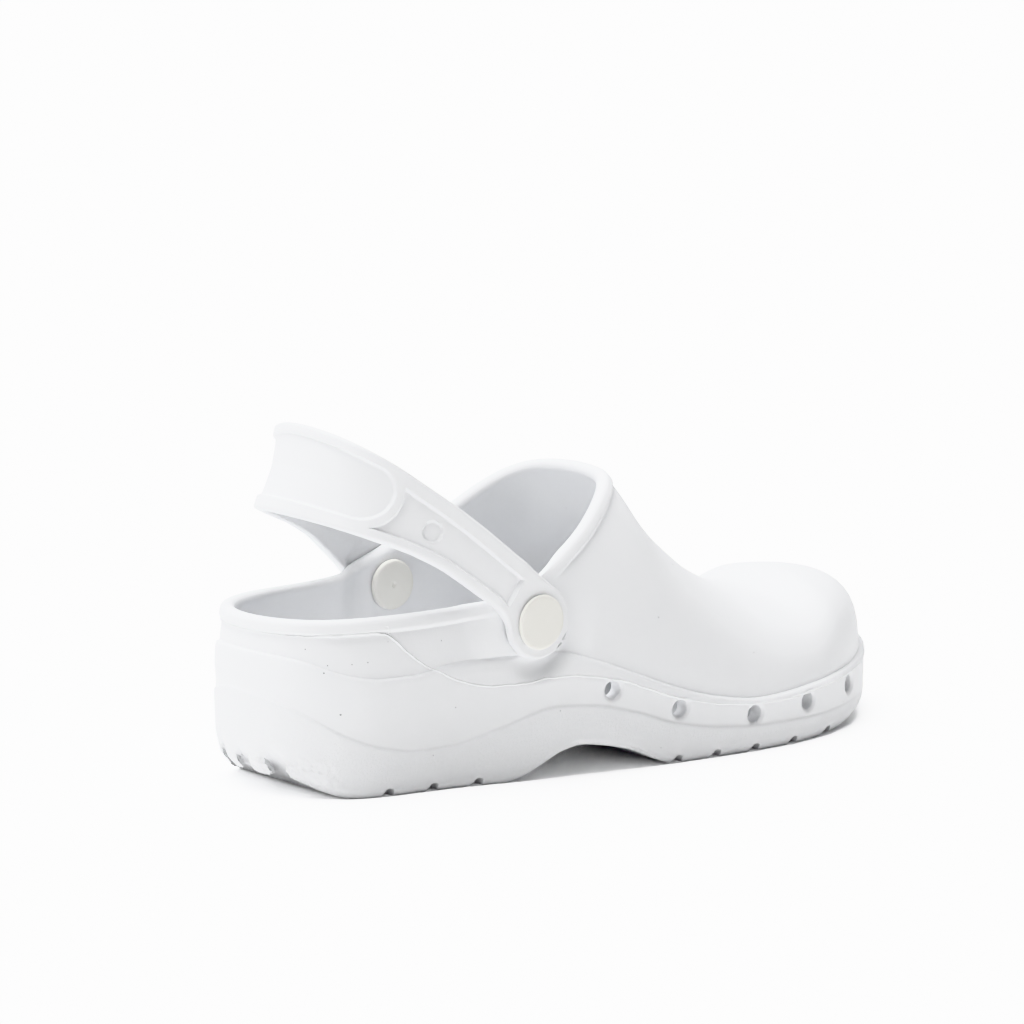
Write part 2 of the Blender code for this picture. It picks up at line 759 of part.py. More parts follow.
def build():
    for obj in list(bpy.data.objects):
        bpy.data.objects.remove(obj, do_unlink=True)
    main = bpy.context.scene.collection
    tools = bpy.data.collections.new("cutters")
    tools.hide_render = True
    main.children.link(tools)

    shell = closed_rows("clog_shell", shell_rows(), main)
    cut(shell, cutter("cut_vents", vent_shapes(), tools))
    cut(shell, cutter("cut_grooves", groove_shapes(), tools))
    cut(shell, cutter("cut_flutes", flute_shapes(), tools))
    inside, outside = 0.7 * PAD_Y, 1.5 * PAD_Y
    ends = [[(RIVET_X, s * y, RIVET_Z) for y in (inside, outside)] for s in (-1, 1)]
    bores = [rod(*pair, BORE_RADIUS, 24) for pair in ends]
    bore = cutter("cut_bores", bores, tools)
    cut(shell, bore)

    closed_rows("insole", insole_rows(), main)
    strap = swept("heel_strap", strap_rows(), main)
    cut(strap, bore)

    seat = PAD_Y + 2 * GAP + STRAP_BOSS_THICKNESS
    cap = (
        (0, seat + CAP_HEIGHT),
        (CAP_RADIUS - 2.2, seat + CAP_HEIGHT - 0.1),
        (CAP_RADIUS - 0.7, seat + CAP_HEIGHT - 0.5),
        (CAP_RADIUS, seat + CAP_HEIGHT - 1.2),
        (CAP_RADIUS - 0.2, seat),
        (POST_RADIUS, seat),
        (POST_RADIUS, PAD_Y - WALL),
        (0, PAD_Y - WALL),
    )
    face = PAD_Y - WALL - GAP
    button = (
        (0, face),
        (BUTTON_RADIUS - 0.2, face),
        (BUTTON_RADIUS, face - 0.8),
        (BUTTON_RADIUS - 0.9, face - BUTTON_HEIGHT + 0.3),
        (BUTTON_RADIUS - 2.6, face - BUTTON_HEIGHT),
        (1.0, face - BUTTON_HEIGHT),
        (0, face - BUTTON_HEIGHT + 0.6),
    )
    for side, label in ((-1, "lateral"), (1, "medial")):
        turned(f"rivet_{label}", cap, side, main)
        turned(f"button_{label}", button, side, main)


build()
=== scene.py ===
"""Visual model of the medical clog: moulded shell with its flash lines, heel strap, rivets and insole.

The tables give millimetres with x measured from the back of the heel, as in the part's source. place() turns
them into metres in the part's frame.
"""

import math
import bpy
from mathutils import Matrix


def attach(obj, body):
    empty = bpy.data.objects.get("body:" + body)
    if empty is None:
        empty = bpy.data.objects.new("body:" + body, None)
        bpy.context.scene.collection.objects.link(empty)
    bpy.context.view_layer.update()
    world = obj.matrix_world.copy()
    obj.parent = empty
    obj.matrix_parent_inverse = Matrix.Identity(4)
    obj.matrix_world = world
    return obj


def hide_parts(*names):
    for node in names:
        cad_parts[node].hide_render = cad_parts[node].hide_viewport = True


bl_info = {
    "name": "Moulded Clog",
    "version": (1, 0, 0),
    "blender": (4, 5, 0),
    "location": "3D View > Sidebar > Clog",
    "description": "Builds the detailed clog over its CAD frame",
    "category": "Object",
}

import bmesh
import bpy
import numpy as np
from bpy.props import FloatProperty, FloatVectorProperty, IntProperty, PointerProperty
from mathutils import Matrix, Vector

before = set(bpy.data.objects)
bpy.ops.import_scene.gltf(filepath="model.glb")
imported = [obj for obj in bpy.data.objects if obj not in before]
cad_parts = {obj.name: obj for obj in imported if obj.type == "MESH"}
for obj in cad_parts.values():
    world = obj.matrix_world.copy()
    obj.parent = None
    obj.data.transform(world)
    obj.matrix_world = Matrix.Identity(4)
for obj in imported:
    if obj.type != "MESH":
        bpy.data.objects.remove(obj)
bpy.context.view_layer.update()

MM = 0.001

# Sizes in millimetres: start of the part's frame, walls and gaps, rivets and their pads, vents, tread and boss
HEEL_REST_X = 47.0
WALL = 4.2
SOLE_WALL = 6.6
FLOOR_FILLET = 3.6
GAP = 0.3
RIVET_X = 95.0
RIVET_Z = 55.6
PAD_Y = 41.6
PAD_RADIUS = 13.5
PAD_FADE = 13.0
SOLE_PAD_FADE = 9.0
PAD_SIDE = 25.0
BORE_RADIUS = 3.5
VENT_RADIUS = 3.15
GROOVE_WIDTH = 5.9
GROOVE_DEPTH = 3.0
BOSS_RADIUS = 13.0

# How finely curves are sampled
OUTLINE_SAMPLES = 4000
PATH_SAMPLES = 240
DOME_COLUMNS = 1600
VENT_COLUMNS = 1200
INSOLE_COLUMNS = 240
ROUND_SIDES = 40

# Plan of the sole at its widest level: x, y
OUTLINE = (
    (0, 0), (3.3, -15), (10.3, -25.2), (22, -32.7), (45, -37.2), (64, -38.7), (80, -41.2),
    (103, -45.9), (119, -48), (137, -49.3), (160, -50), (185, -50), (202, -49), (217, -46.6),
    (232, -42.2), (246, -35.8), (260, -25.6), (272, -12.6), (280.5, 0), (283, 10), (280.5, 22),
    (272.5, 34), (258, 43.5), (240, 49.5), (220, 52), (198, 52), (175, 50.2), (150, 47),
    (125, 45.2), (95, 43.4), (80, 40.8), (64, 38.7), (45, 36.9), (22, 32.7), (10.3, 25.2),
    (3.3, 15),
)

# Under the sole: x, height
GROUND = (
    (0, 6.6), (8, 5.2), (15, 2.6), (22, 0.5), (27, 0), (84, 0), (91, 1.6), (98, 5.0), (107, 9.4),
    (114, 10.7), (122, 9.7), (131, 7.9), (138, 5.7), (145, 2.6), (151, 0.6), (156, 0), (214, 0),
    (230, 0.6), (250, 2.4), (265, 4.8), (283, 8.0),
)

# Side of the sole: x, wave (top of the textured band), crease (foot of the upper), drop (height of the
# shoulder under the crease), inset (depth of the crease)
SOLE_SIDE = (
    (0, 36.0, 50.0, 8.0, 1.7),
    (8, 31.0, 48.3, 8.0, 1.7),
    (22, 22.2, 43.0, 7.0, 1.7),
    (36, 17.0, 40.7, 6.0, 1.8),
    (50, 14.9, 41.0, 6.5, 1.9),
    (64, 15.4, 43.5, 8.0, 2.0),
    (83, 20.0, 44.6, 9.5, 2.0),
    (103, 25.3, 44.0, 9.0, 2.0),
    (119, 24.2, 40.2, 6.5, 2.1),
    (136, 20.1, 33.8, 4.5, 2.2),
    (153, 14.6, 27.4, 3.6, 2.2),
    (171, 11.2, 22.1, 2.8, 2.2),
    (193, 9.3, 18.9, 2.6, 2.2),
    (222, 8.9, 20.3, 2.6, 2.2),
    (250, 9.8, 22.6, 2.6, 2.2),
    (283, 12.0, 25.6, 2.6, 2.2),
)

# Upper: x, spine height, side and top exponents
SPINE = (
    (38, 150.0, 2.0, 1.25),
    (60, 146.0, 2.0, 1.25),
    (90, 135.0, 2.0, 1.30),
    (112, 124.0, 2.0, 1.45),
    (128, 114.5, 2.0, 1.70),
    (139, 107.0, 2.0, 1.90),
    (147.3, 99.8, 2.0, 2.00),
    (154, 89.8, 2.1, 2.05),
    (162, 80.4, 2.1, 2.10),
    (172, 71.2, 2.2, 2.10),
    (182, 63.6, 2.2, 2.10),
    (194, 57.2, 2.1, 2.05),
    (206, 52.0, 2.0, 2.00),
    (222, 49.2, 2.0, 2.00),
    (240, 52.0, 2.4, 2.70),
)
HEEL_FOCUS, TOE_FOCUS = SPINE[0][0], SPINE[-1][0]

# Collar seen from the side: x, height
COLLAR = (
    (0, 61.3), (30, 61.5), (50, 61.6), (64, 62.0), (78, 64.0), (97, 70.8), (109, 77.6), (119, 84.2),
    (128, 90.8), (135, 95.4), (141.5, 98.4), (147.3, 99.8),
)
COLLAR_FRONT = COLLAR[-1][0]

# Where the upper's columns start on the sole and end on the rim, both by x
FAN = ((0, 0), (60, 60), (95, 92), (185, 135), (283, 147.3))

# Floor of the cavity, under the insole: x, height
FLOOR = (
    (0, 34.5), (30, 33.0), (50, 32.2), (80, 27.6), (102, 22.4), (126, 15.8), (150, 10.2),
    (175, 7.3), (200, 6.9), (225, 7.4), (250, 9.2), (283, 13.0),
)

# The parting line of the mould, where a thin flash stands proud: x, height
PARTING = (
    (0, 56.3), (8, 56.0), (19, 56.6), (33, 56.6), (38.6, 55.1), (41, 53.2), (46, 48.8),
    (52.5, 43.8), (57.8, 41.2), (66, 37.3), (79, 34.4), (90, 34.4), (100, 35.6), (110, 35.5),
    (120, 34.0), (131, 31.3), (142, 27.4), (153, 23.5), (164.6, 20.7), (176, 18.7), (193, 17.1),
    (205, 17.1), (222, 18.3), (250, 20.7), (283, 23.6),
)

# Edges of the strap over the line through the rivets: distance back, upper edge, lower edge
STRAP_EDGES = (
    (0, 13.0, -13.0),
    (5, 12.9, -12.0),
    (8, 12.9, -10.2),
    (11, 12.9, -7.9),
    (15, 13.0, -6.5),
    (21, 13.3, -5.8),
    (38, 14.4, -5.8),
    (52, 14.7, -7.6),
    (66, 14.3, -11.2),
    (90, 13.5, -17.6),
)

# Vents on each side: x, height. Grooves across the tread by x, and flutes up the back of the heel by y
VENTS = ((125.6, 29.1), (155.4, 19.3), (189.4, 13.5), (216.4, 14.6), (243.8, 16.2))
HEEL_GROOVES = (38.6, 56.6, 74.2)
TOE_GROOVES = (154.8, 172.0, 190.0, 209.1, 229.2)
FLUTES = (-14.5, 0.0, 14.5)
FLUTE_BACK = 36.0
FLUTE_RADIUS = 2.3
FLUTE_SOFT = 2.4
FLUTE_PASSES = 12

# The strap: where its arms stop being parallel to the rivets' plane, the borders of its sunk panels, and the
# round mark in each arm
STRAIGHT = 17.0
BORDER = 3.4
BACK_BORDER = 5.0
ARM_BORDER = 5.4
MARK_AWAY, MARK_UP, MARK_RADIUS = 51.4, 2.6, 3.5

# Small pits in the outer side, drawn as dark caps of painted shade: x, height, radius
PITS = (
    (20.6, 29.7, 0.45),
    (15.9, 44.1, 0.36),
    (17.3, 46.3, 0.28),
    (25.0, 46.4, 0.24),
    (30.7, 46.7, 0.26),
    (11.5, 51.7, 0.3),
    (64.4, 28.3, 0.26),
    (104.0, 23.9, 0.26),
    (60.1, 51.4, 0.24),
    (55.5, 12.8, 0.24),
    (166.0, 65.8, 0.3),
    (147.6, 51.6, 0.3),
    (208.9, 50.3, 0.26),
    (183.6, 53.9, 0.26),
    (187.9, 50.0, 0.2),
    (192.6, 34.2, 0.22),
)


def smooth(table, x, column=1):
    """A table's column at x, along a curve that doesn't overshoot its rows."""
    xs = np.array([row[0] for row in table], float)
    ys = np.array([row[column] for row in table], float)
    step = np.diff(xs)
    rise = np.diff(ys) / step
    slope = np.zeros(len(xs))
    both = rise[:-1] * rise[1:] > 0
    slope[1:-1][both] = 2 * rise[:-1][both] * rise[1:][both] / (rise[:-1] + rise[1:])[both]
    slope[0], slope[-1] = rise[0], rise[-1]
    x = np.clip(x, xs[0], xs[-1])
    i = np.clip(np.searchsorted(xs, x, side="right") - 1, 0, len(step) - 1)
    t = (x - xs[i]) / step[i]
    return (
        ys[i] * (1 + 2 * t) * (1 - t) ** 2
        + ys[i + 1] * t * t * (3 - 2 * t)
        + step[i] * t * (1 - t) * ((1 - t) * slope[i] - t * slope[i + 1])
    )


def ease(t):
    """0 to 1 with level ends."""
    t = np.clip(t, 0, 1)
    return t * t * (3 - 2 * t)


def closed_spline(points, count):
    """Positions and inward normals along a closed spline through points given anticlockwise from above."""
    points = np.array(points, float)
    size = len(points)
    chord = np.linalg.norm(np.roll(points, -1, 0) - points, axis=1)
    before = np.roll(chord, 1)
    matrix = np.zeros((size, size))
    for i in range(size):
        matrix[i, i - 1] = 1 / before[i]
        matrix[i, i] = 2 / before[i] + 2 / chord[i]
        matrix[i, (i + 1) % size] = 1 / chord[i]
    ahead, behind = np.roll(points, -1, 0) - points, points - np.roll(points, 1, 0)
    tangent = np.linalg.solve(matrix, 3 * (ahead / chord[:, None] ** 2 + behind / before[:, None] ** 2))
    at = np.linspace(0, size, count, endpoint=False)
    i = at.astype(int)
    j, t, h = (i + 1) % size, (at - i)[:, None], chord[i][:, None]
    p, q, m, n = points[i], points[j], tangent[i], tangent[j]
    line = p * (1 + 2 * t) * (1 - t) ** 2 + q * t * t * (3 - 2 * t) + h * t * (1 - t) * ((1 - t) * m - t * n)
    along = np.roll(line, -1, 0) - np.roll(line, 1, 0)
    along /= np.linalg.norm(along, axis=1)[:, None]
    return line, np.stack([-along[:, 1], along[:, 0]], 1)


def arc(points):
    """Length along a line of points, starting at 0."""
    return np.concatenate([[0], np.cumsum(np.linalg.norm(np.diff(points, axis=0), axis=1))])


class Plan:
    """The sole's outline as two sides with the same stations, so the columns of both sides share their x."""

    def __init__(self, columns):
        line, normal = closed_spline(OUTLINE, OUTLINE_SAMPLES)
        line, normal = np.vstack([line, line[:1]]), np.vstack([normal, normal[:1]])
        tip = int(np.argmax(line[:, 0]))
        sides = ((line[: tip + 1], normal[: tip + 1]), (line[tip:][::-1], normal[tip:][::-1]))
        self.half = columns // 2
        share = np.linspace(0, 1, self.half + 1)
        stations = []
        for side, _ in sides:
            length = arc(side)
            stations.append(np.interp(share * length[-1], length, side[:, 0]))
        self.x = np.mean(stations, axis=0)
        picked = []
        for side, across in sides:
            rank = np.interp(self.x, np.maximum.accumulate(side[:, 0]), np.arange(len(side)))
            rank[0], rank[-1] = 0, len(side) - 1
            picked.append([np.interp(rank, np.arange(len(side)), values) for values in (*side.T, *across.T)])
        joined = np.concatenate([picked[0], np.array(picked[1])[:, -2:0:-1]], axis=1)
        self.points, self.normals = joined[:2].T, joined[2:].T
        self.stations = np.concatenate([self.x, self.x[-2:0:-1]])

    def ring(self, inset, height):
        """A closed row: the outline moved inwards by inset, at this height."""
        moved = self.points + self.normals * np.broadcast_to(inset, len(self.points))[:, None]
        return np.column_stack([moved, np.broadcast_to(height, len(moved))])


class Dome:
    """The upper's outer surface as a height over the plan. Both ends fan out from a focus."""

    def __init__(self):
        plan = Plan(DOME_COLUMNS)
        base = plan.ring(smooth(SOLE_SIDE, plan.stations, 4), smooth(SOLE_SIDE, plan.stations, 2))
        self.outer, self.inner = base[: plan.half + 1], np.vstack([base[plan.half :], base[:1]])[::-1]
        self.toe = self.fan(TOE_FOCUS, 1)
        self.heel = self.fan(HEEL_FOCUS, -1)

    def middle(self, x):
        """Middle line and half width of the base at x."""
        low = np.interp(x, self.outer[:, 0], self.outer[:, 1])
        high = np.interp(x, self.inner[:, 0], self.inner[:, 1])
        return (low + high) / 2, (high - low) / 2

    def fan(self, focus, way):
        """Angle, radius and height of the base beyond the focus."""
        middle = self.middle(focus)[0]
        base = np.vstack([self.outer, self.inner[1:-1][::-1]])
        base = base[(base[:, 0] - focus) * way > 0.01]
        dx, dy = (base[:, 0] - focus) * way, base[:, 1] - middle
        angle = np.arctan2(dy, dx)
        order = np.argsort(angle)
        return middle, angle[order], np.hypot(dx, dy)[order], base[order, 2]

    def polar(self, x, y):
        """Share of the way out to the base, height of the base there, and x of the axis point."""
        middle, half = self.middle(x)
        share = np.abs(y - middle) / np.maximum(half, 1e-6)
        base = smooth(SOLE_SIDE, x, 2)
        ends = ((TOE_FOCUS, 1, self.toe), (HEEL_FOCUS, -1, self.heel))
        for focus, way, (centre, angle, radius, height) in ends:
            beyond = (x - focus) * way > 0
            dx, dy = (x - focus) * way, y - centre
            turn = np.arctan2(dy, dx)
            share = np.where(beyond, np.hypot(dx, dy) / np.interp(turn, angle, radius), share)
            base = np.where(beyond, np.interp(turn, angle, height), base)
        return np.clip(share, 0, 1), base, np.clip(x, HEEL_FOCUS, TOE_FOCUS)

    def height(self, x, y):
        share, base, axis = self.polar(x, y)
        top, side, crown = (smooth(SPINE, axis, k) for k in (1, 2, 3))
        return base + (top - base) * (1 - share**side) ** (1 / crown)

    def rim(self, side):
        """The collar's line on one side, where the dome meets the collar's height."""
        edge = side[side[:, 0] <= COLLAR_FRONT]
        axis = np.maximum(edge[:, 0], HEEL_FOCUS)
        middle = self.middle(axis)[0]
        share = np.ones(len(edge))
        top, power, crown = (smooth(SPINE, axis, k) for k in (1, 2, 3))
        for _ in range(12):
            x = axis + share * (edge[:, 0] - axis)
            up = np.clip((smooth(COLLAR, x) - edge[:, 2]) / (top - edge[:, 2]), 0, 1)
            share = (1 - up**crown) ** (1 / power)
        line = np.column_stack([axis + share * (edge[:, 0] - axis), middle + share * (edge[:, 1] - middle)])
        return np.vstack([line, [[COLLAR_FRONT, self.middle(COLLAR_FRONT)[0]]]])


def upper_rows(plan, dome, shares, tail):
    """Rows of the upper's outer surface, at shares of each column, then at distances (tail) from the rim."""
    rims = []
    window = 2 * (plan.half // 11) + 1
    for side in (dome.outer, dome.inner):
        line = dome.rim(side)
        length = arc(line)
        at_x = np.interp(smooth(FAN, plan.x[1:-1]), np.maximum.accumulate(line[:, 0]), length)
        at_x = np.concatenate([[0], at_x, [length[-1]]])
        bend = int(np.searchsorted(plan.x, FAN[-2][0]))
        at_x[bend:] = smooth(((0, at_x[bend]), (1, length[-1])), np.linspace(0, 1, len(at_x) - bend))
        at_x = np.convolve(np.pad(at_x, window // 2, mode="edge"), np.ones(window) / window, "valid")
        at_x[0], at_x[-1] = 0, length[-1]
        rims.append(np.column_stack([np.interp(at_x, length, line[:, k]) for k in (0, 1)]))
    ends = np.vstack([rims[0], rims[1][-2:0:-1]])
    starts = plan.ring(smooth(SOLE_SIDE, plan.stations, 4), 0)[:, :2]
    t = 1 - np.cos(np.linspace(0, math.pi / 2, PATH_SAMPLES))
    rows = np.empty((len(shares) + len(tail), len(starts), 3))
    for j, (start, end) in enumerate(zip(starts, ends)):
        path = start + (end - start) * t[:, None]
        line = np.column_stack([path, dome.height(path[:, 0], path[:, 1])])
        line[0, 2] = smooth(SOLE_SIDE, plan.stations[j], 2)
        length = arc(line)
        free = length[-1] - tail[0]
        at = np.concatenate([np.array(shares) * free, length[-1] - np.array(tail)])
        rows[:, j] = np.column_stack([np.interp(at, length, line[:, k]) for k in range(3)])
    return rows


def surface_normals(rows):
    """Outward normals of a closed grid of rows that climbs from the sole to the rim."""
    up = np.gradient(rows, axis=0)
    across = np.roll(rows, -1, axis=1) - np.roll(rows, 1, axis=1)
    normal = np.cross(up, across)
    normal /= np.linalg.norm(normal, axis=2)[..., None] + 1e-12
    return normal * np.sign((normal[0, :, :2] * (rows[0, :, :2] - rows[0, :, :2].mean(0))).sum())


def flatten_pads(points, level, hollow=False, fade=PAD_FADE):
    """Pulls the wall near each rivet to a flat at this distance from the middle plane.

    A hollow only goes inwards.
    """
    away = np.hypot(points[..., 0] - RIVET_X, points[..., 2] - RIVET_Z)
    weight = 1 - ease((away - PAD_RADIUS) / fade)
    weight = np.where(np.abs(points[..., 1]) > (level if hollow else PAD_SIDE), weight, 0)
    points[..., 1] += weight * (np.sign(points[..., 1]) * level - points[..., 1])


def blend_rows(rows, counts):
    """More rows between the given ones, then rounded a little at each."""
    rows = np.array(rows)
    steps = [np.linspace(i, i + 1, n, endpoint=False) for i, n in enumerate(counts)]
    at = np.concatenate([*steps, [len(counts)]])
    i = np.minimum(at.astype(int), len(rows) - 2)
    t = (at - i)[:, None, None]
    dense = rows[i] * (1 - t) + rows[i + 1] * t
    padded = np.concatenate([dense[:1], dense, dense[-1:]])
    return (padded[:-2] + 2 * padded[1:-1] + padded[2:]) / 4


def place(points):
    """Table millimetres to metres in the part's frame."""
    return (np.asarray(points, float) - (HEEL_REST_X, 0, 0)) * MM


def shell_grid(columns, bead_width, bead_height):
    """Every row of the shell, the count of outside rows, the textured band's strength and the columns' x."""
    plan, dome = Plan(columns), Dome()
    x = plan.stations
    ground, floor = smooth(GROUND, x), smooth(FLOOR, x)
    wave, crease, drop, inset = (smooth(SOLE_SIDE, x, k) for k in (1, 2, 3, 4))
    rear = 1 - ease(x / 34)
    fade = 1 - 0.9 * ease((x - 190) / 60)
    heel = 1 - ease((x - 50) / 20)
    side = blend_rows(
        [
            plan.ring(2.4 + 4.6 * rear, ground),
            plan.ring(0.9 + 1.9 * rear, ground + 2.0 + 2.0 * rear),
            plan.ring(0.2 + 0.5 * rear, ground + 0.45 * (wave - ground)),
            plan.ring(0.0, wave - 1.2),
            plan.ring(0.05, wave - 0.35),
            plan.ring(0.65 * fade, wave + 0.35),
            plan.ring(0.6 * fade, wave + 1.4),
            plan.ring(0.45 * fade, (wave + crease - drop) / 2),
            plan.ring(0.05, crease - drop),
            plan.ring(0.2, crease - (0.5 - 0.2 * heel) * drop),
            plan.ring(0.3 * inset + 0.15, crease - (0.17 - 0.08 * heel) * drop),
            plan.ring(0.85 * inset + 0.1, crease - 0.03 * drop),
        ],
        (4, 7, 7, 2, 2, 2, 7, 7, 5, 4, 3),
    )
    shares = np.concatenate([[0, 0.008, 0.018], np.linspace(0.032, 1, 44, endpoint=False)])
    tail = [bead_width + short for short in (3.2, 2.2, 1.5)]
    tail += [*np.linspace(bead_width + 1, bead_width - 0.6, 7), bead_width - 1.2, 3.2, 2.6, 0.0]
    rows = upper_rows(plan, dome, shares, tail)
    normals = surface_normals(rows)
    bare = len(shares)
    inner = rows - normals * WALL
    raised = bead_height * ease((bead_width + 0.75 - np.array(tail)) / 1.4)
    rows[bare:] += normals[bare:] * raised[:, None, None]
    base, out = rows[-2] - normals[-2] * bead_height, normals[-2]
    climb = rows[-1] - normals[-1] * bead_height - base
    climb /= np.linalg.norm(climb, axis=1)[:, None]
    thick = (WALL + bead_height) / 2
    lip_turns = np.linspace(0, math.pi, 15)[1:-1]
    lip = [
        base + climb * tail[-2] * math.sin(a) + out * (bead_height - thick + thick * math.cos(a))
        for a in lip_turns
    ]
    flatten_pads(side, PAD_Y, hollow=True, fade=SOLE_PAD_FADE)
    outside = np.concatenate([rows[:-1], lip])
    sunk = np.zeros(len(outside))
    sunk[-len(lip) :] = np.maximum(0, [thick - bead_height - thick * math.cos(a) for a in lip_turns])
    lining = inner[[len(rows) - 2, *range(len(rows) - 4, bare - 1, -3), *range(bare - 2, 2, -2), 0]]
    flatten_pads(outside, PAD_Y - sunk[:, None])
    flatten_pads(lining, PAD_Y - WALL)
    cavity = [
        plan.ring(SOLE_WALL + FLOOR_FILLET * (1 - math.cos(a)), floor + FLOOR_FILLET * (1 - math.sin(a)))
        for a in np.linspace(0, math.pi / 2, 6)
    ]
    grid = np.concatenate([side, outside, lining, cavity])
    band = ease((wave - grid[..., 2]) / 0.8 + 0.5)
    band[len(side) :] = 0
    return grid, len(side) + bare, band, x


def link(name, vertices, faces, values=None):
    """A smooth-shaded object from table millimetres, with outward faces and optional values on its points."""
    mesh = bpy.data.meshes.new(name)
    mesh.from_pydata([tuple(v) for v in place(vertices)], [], faces)
    for key, numbers in (values or {}).items():
        layer = mesh.attributes.new(key, "FLOAT", "POINT")
        layer.data.foreach_set("value", np.asarray(numbers, np.float32).ravel())
    shape = bmesh.new()
    shape.from_mesh(mesh)
    bmesh.ops.recalc_face_normals(shape, faces=shape.faces)
    shape.to_mesh(mesh)
    shape.free()
    obj = bpy.data.objects.new(name, mesh)
    bpy.context.scene.collection.objects.link(obj)
    return obj


def shade(obj, degrees=38):
    """Smooth shading, with edges sharper than this angle kept."""
    obj.data.shade_smooth()
    obj.data.set_sharp_from_angle(angle=math.radians(degrees))


def loop_faces(count, columns, closed_ends=True):
    """Faces between closed rows. Closed ends run straight across the foot."""
    i, j = np.meshgrid(np.arange(count - 1), np.arange(columns), indexing="ij")
    k = (j + 1) % columns
    faces = np.stack([i * columns + j, i * columns + k, (i + 1) * columns + k, (i + 1) * columns + j], -1)
    faces = faces.reshape(-1, 4).tolist()
    for start in (0, (count - 1) * columns) if closed_ends else ():
        half = columns // 2
        faces.append((start, start + 1, start + columns - 1))
        for j in range(1, half - 1):
            faces.append((start + j, start + j + 1, start + columns - j - 1, start + columns - j))
        faces.append((start + half - 1, start + half, start + half + 1))
    return faces


def prism(first, last):
    """A closed body between two ends with the same count of corners."""
    size = len(first)
    faces = [tuple(range(size))[::-1], tuple(range(size, 2 * size))]
    faces += [(i, (i + 1) % size, size + (i + 1) % size, size + i) for i in range(size)]
    return [*first, *last], faces


def rod(start, end, radius, sides):
    """A prism round the line from start to end."""
    start, end = np.array(start, float), np.array(end, float)
    axis = (end - start) / np.linalg.norm(end - start)
    side = np.cross(axis, (0, 0, 1))
    side /= np.linalg.norm(side)
    up = np.cross(side, axis)
    turn = [2 * math.pi * (i + 0.5) / sides for i in range(sides)]
    ring = np.array([radius * (math.cos(a) * side + math.sin(a) * up) for a in turn])
    return prism(start + ring, end + ring)


def cut(obj, shapes):
    """Takes closed shapes out of the object for good."""
    vertices, faces = [], []
    for points, sides in shapes:
        faces += [tuple(i + len(vertices) for i in side) for side in sides]
        vertices += list(points)
    tool = link("cutter", vertices, faces)
    modifier = obj.modifiers.new("cut", "BOOLEAN")
    modifier.object, modifier.operation, modifier.solver = tool, "DIFFERENCE", "EXACT"
    bpy.context.view_layer.update()
    made = bpy.data.meshes.new_from_object(obj.evaluated_get(bpy.context.evaluated_depsgraph_get()))
    obj.modifiers.clear()
    old, obj.data = obj.data, made
    made.name = obj.name
    bpy.data.meshes.remove(old)
    bpy.data.objects.remove(tool, do_unlink=True)


def vent_axes():
    """Point on the wall and inward direction of each vent."""
    plan = Plan(VENT_COLUMNS)
    for x, height in VENTS:
        for side in (slice(1, plan.half), slice(plan.half + 1, VENT_COLUMNS)):
            points, normals = plan.points[side], plan.normals[side]
            at = int(np.argmin(np.abs(points[:, 0] - x)))
            yield np.append(points[at], height), np.append(normals[at], 0)


def round_vents(obj, width, depth):
    """Finer faces round each vent, drawn inwards by depth to a soft lip of this width."""
    shape = bmesh.new()
    shape.from_mesh(obj.data)
    axes = [(Vector(place(point)), Vector(inward)) for point, inward in vent_axes()]
    reach = (VENT_RADIUS + width + 1.2) * MM
    skin = 4 * MM

    def near(edge, point, inward):
        away = edge.verts[0].co - point
        return abs(away.dot(inward)) < skin and (away - away.dot(inward) * inward).length < reach

    edges = {e for point, inward in axes for e in shape.edges if near(e, point, inward)}
    bmesh.ops.subdivide_edges(shape, edges=list(edges), cuts=3, use_grid_fill=True)
    for point, inward in axes:
        for v in shape.verts:
            away = v.co - point
            deep = away.dot(inward)
            if abs(deep) < skin:
                far = (away - deep * inward).length / MM - VENT_RADIUS
                if far < width:
                    v.co += inward * depth * MM * min(1.0, (width - far) / width) ** 2
    shape.to_mesh(obj.data)
    shape.free()


def bores():
    """The holes for the rivets' posts, one on each side."""
    ends = [[(RIVET_X, side * y, RIVET_Z) for y in (30, 60)] for side in (-1, 1)]
    return [rod(start, end, BORE_RADIUS, ROUND_SIDES) for start, end in ends]


def flute_axis(y):
    """Ends of a flute's axis, from outside the back of the heel down through the tread."""
    back = FLUTE_BACK - math.sqrt(FLUTE_BACK**2 - y * y)
    return (back - 2.2, y, 15.5), (back + 19, y, -1.6)


def soften_flutes(obj):
    """Rounds the edges of the flutes up the back of the heel."""
    shape = bmesh.new()
    shape.from_mesh(obj.data)
    near = set()
    for y in FLUTES:
        start, end = (Vector(place(p)) for p in flute_axis(y))
        axis = (end - start).normalized()
        for v in shape.verts:
            away = v.co - start
            if (away - away.dot(axis) * axis).length < (FLUTE_RADIUS + FLUTE_SOFT) * MM and v.co.z > 0.4 * MM:
                near.add(v)
    axes = {f"use_axis_{axis}": True for axis in "xyz"}
    for _ in range(FLUTE_PASSES):
        bmesh.ops.smooth_vert(shape, verts=list(near), factor=0.5, **axes)
    shape.to_mesh(obj.data)
    shape.free()


def surface_line(grid, count, stations, spacing, table):
    """Even points and outward normals on the shell's outside, at a table's heights, all round the foot."""
    rows = grid[: count + 12]
    normals = surface_normals(rows)
    heights = smooth(table, stations)
    points, across = np.empty((len(stations), 3)), np.empty((len(stations), 3))
    for j, height in enumerate(heights):
        climb = np.maximum.accumulate(rows[:, j, 2]) + np.arange(len(rows)) * 1e-9
        points[j] = [np.interp(height, climb, rows[:, j, k]) for k in range(3)]
        across[j] = [np.interp(height, climb, normals[:, j, k]) for k in range(3)]
    length = arc(np.vstack([points, points[:1]]))
    at = np.arange(0, length[-1], spacing)
    closed = [np.vstack([values, values[:1]]) for values in (points, across)]
    return [np.column_stack([np.interp(at, length, v[:, k]) for k in range(3)]) for v in closed]


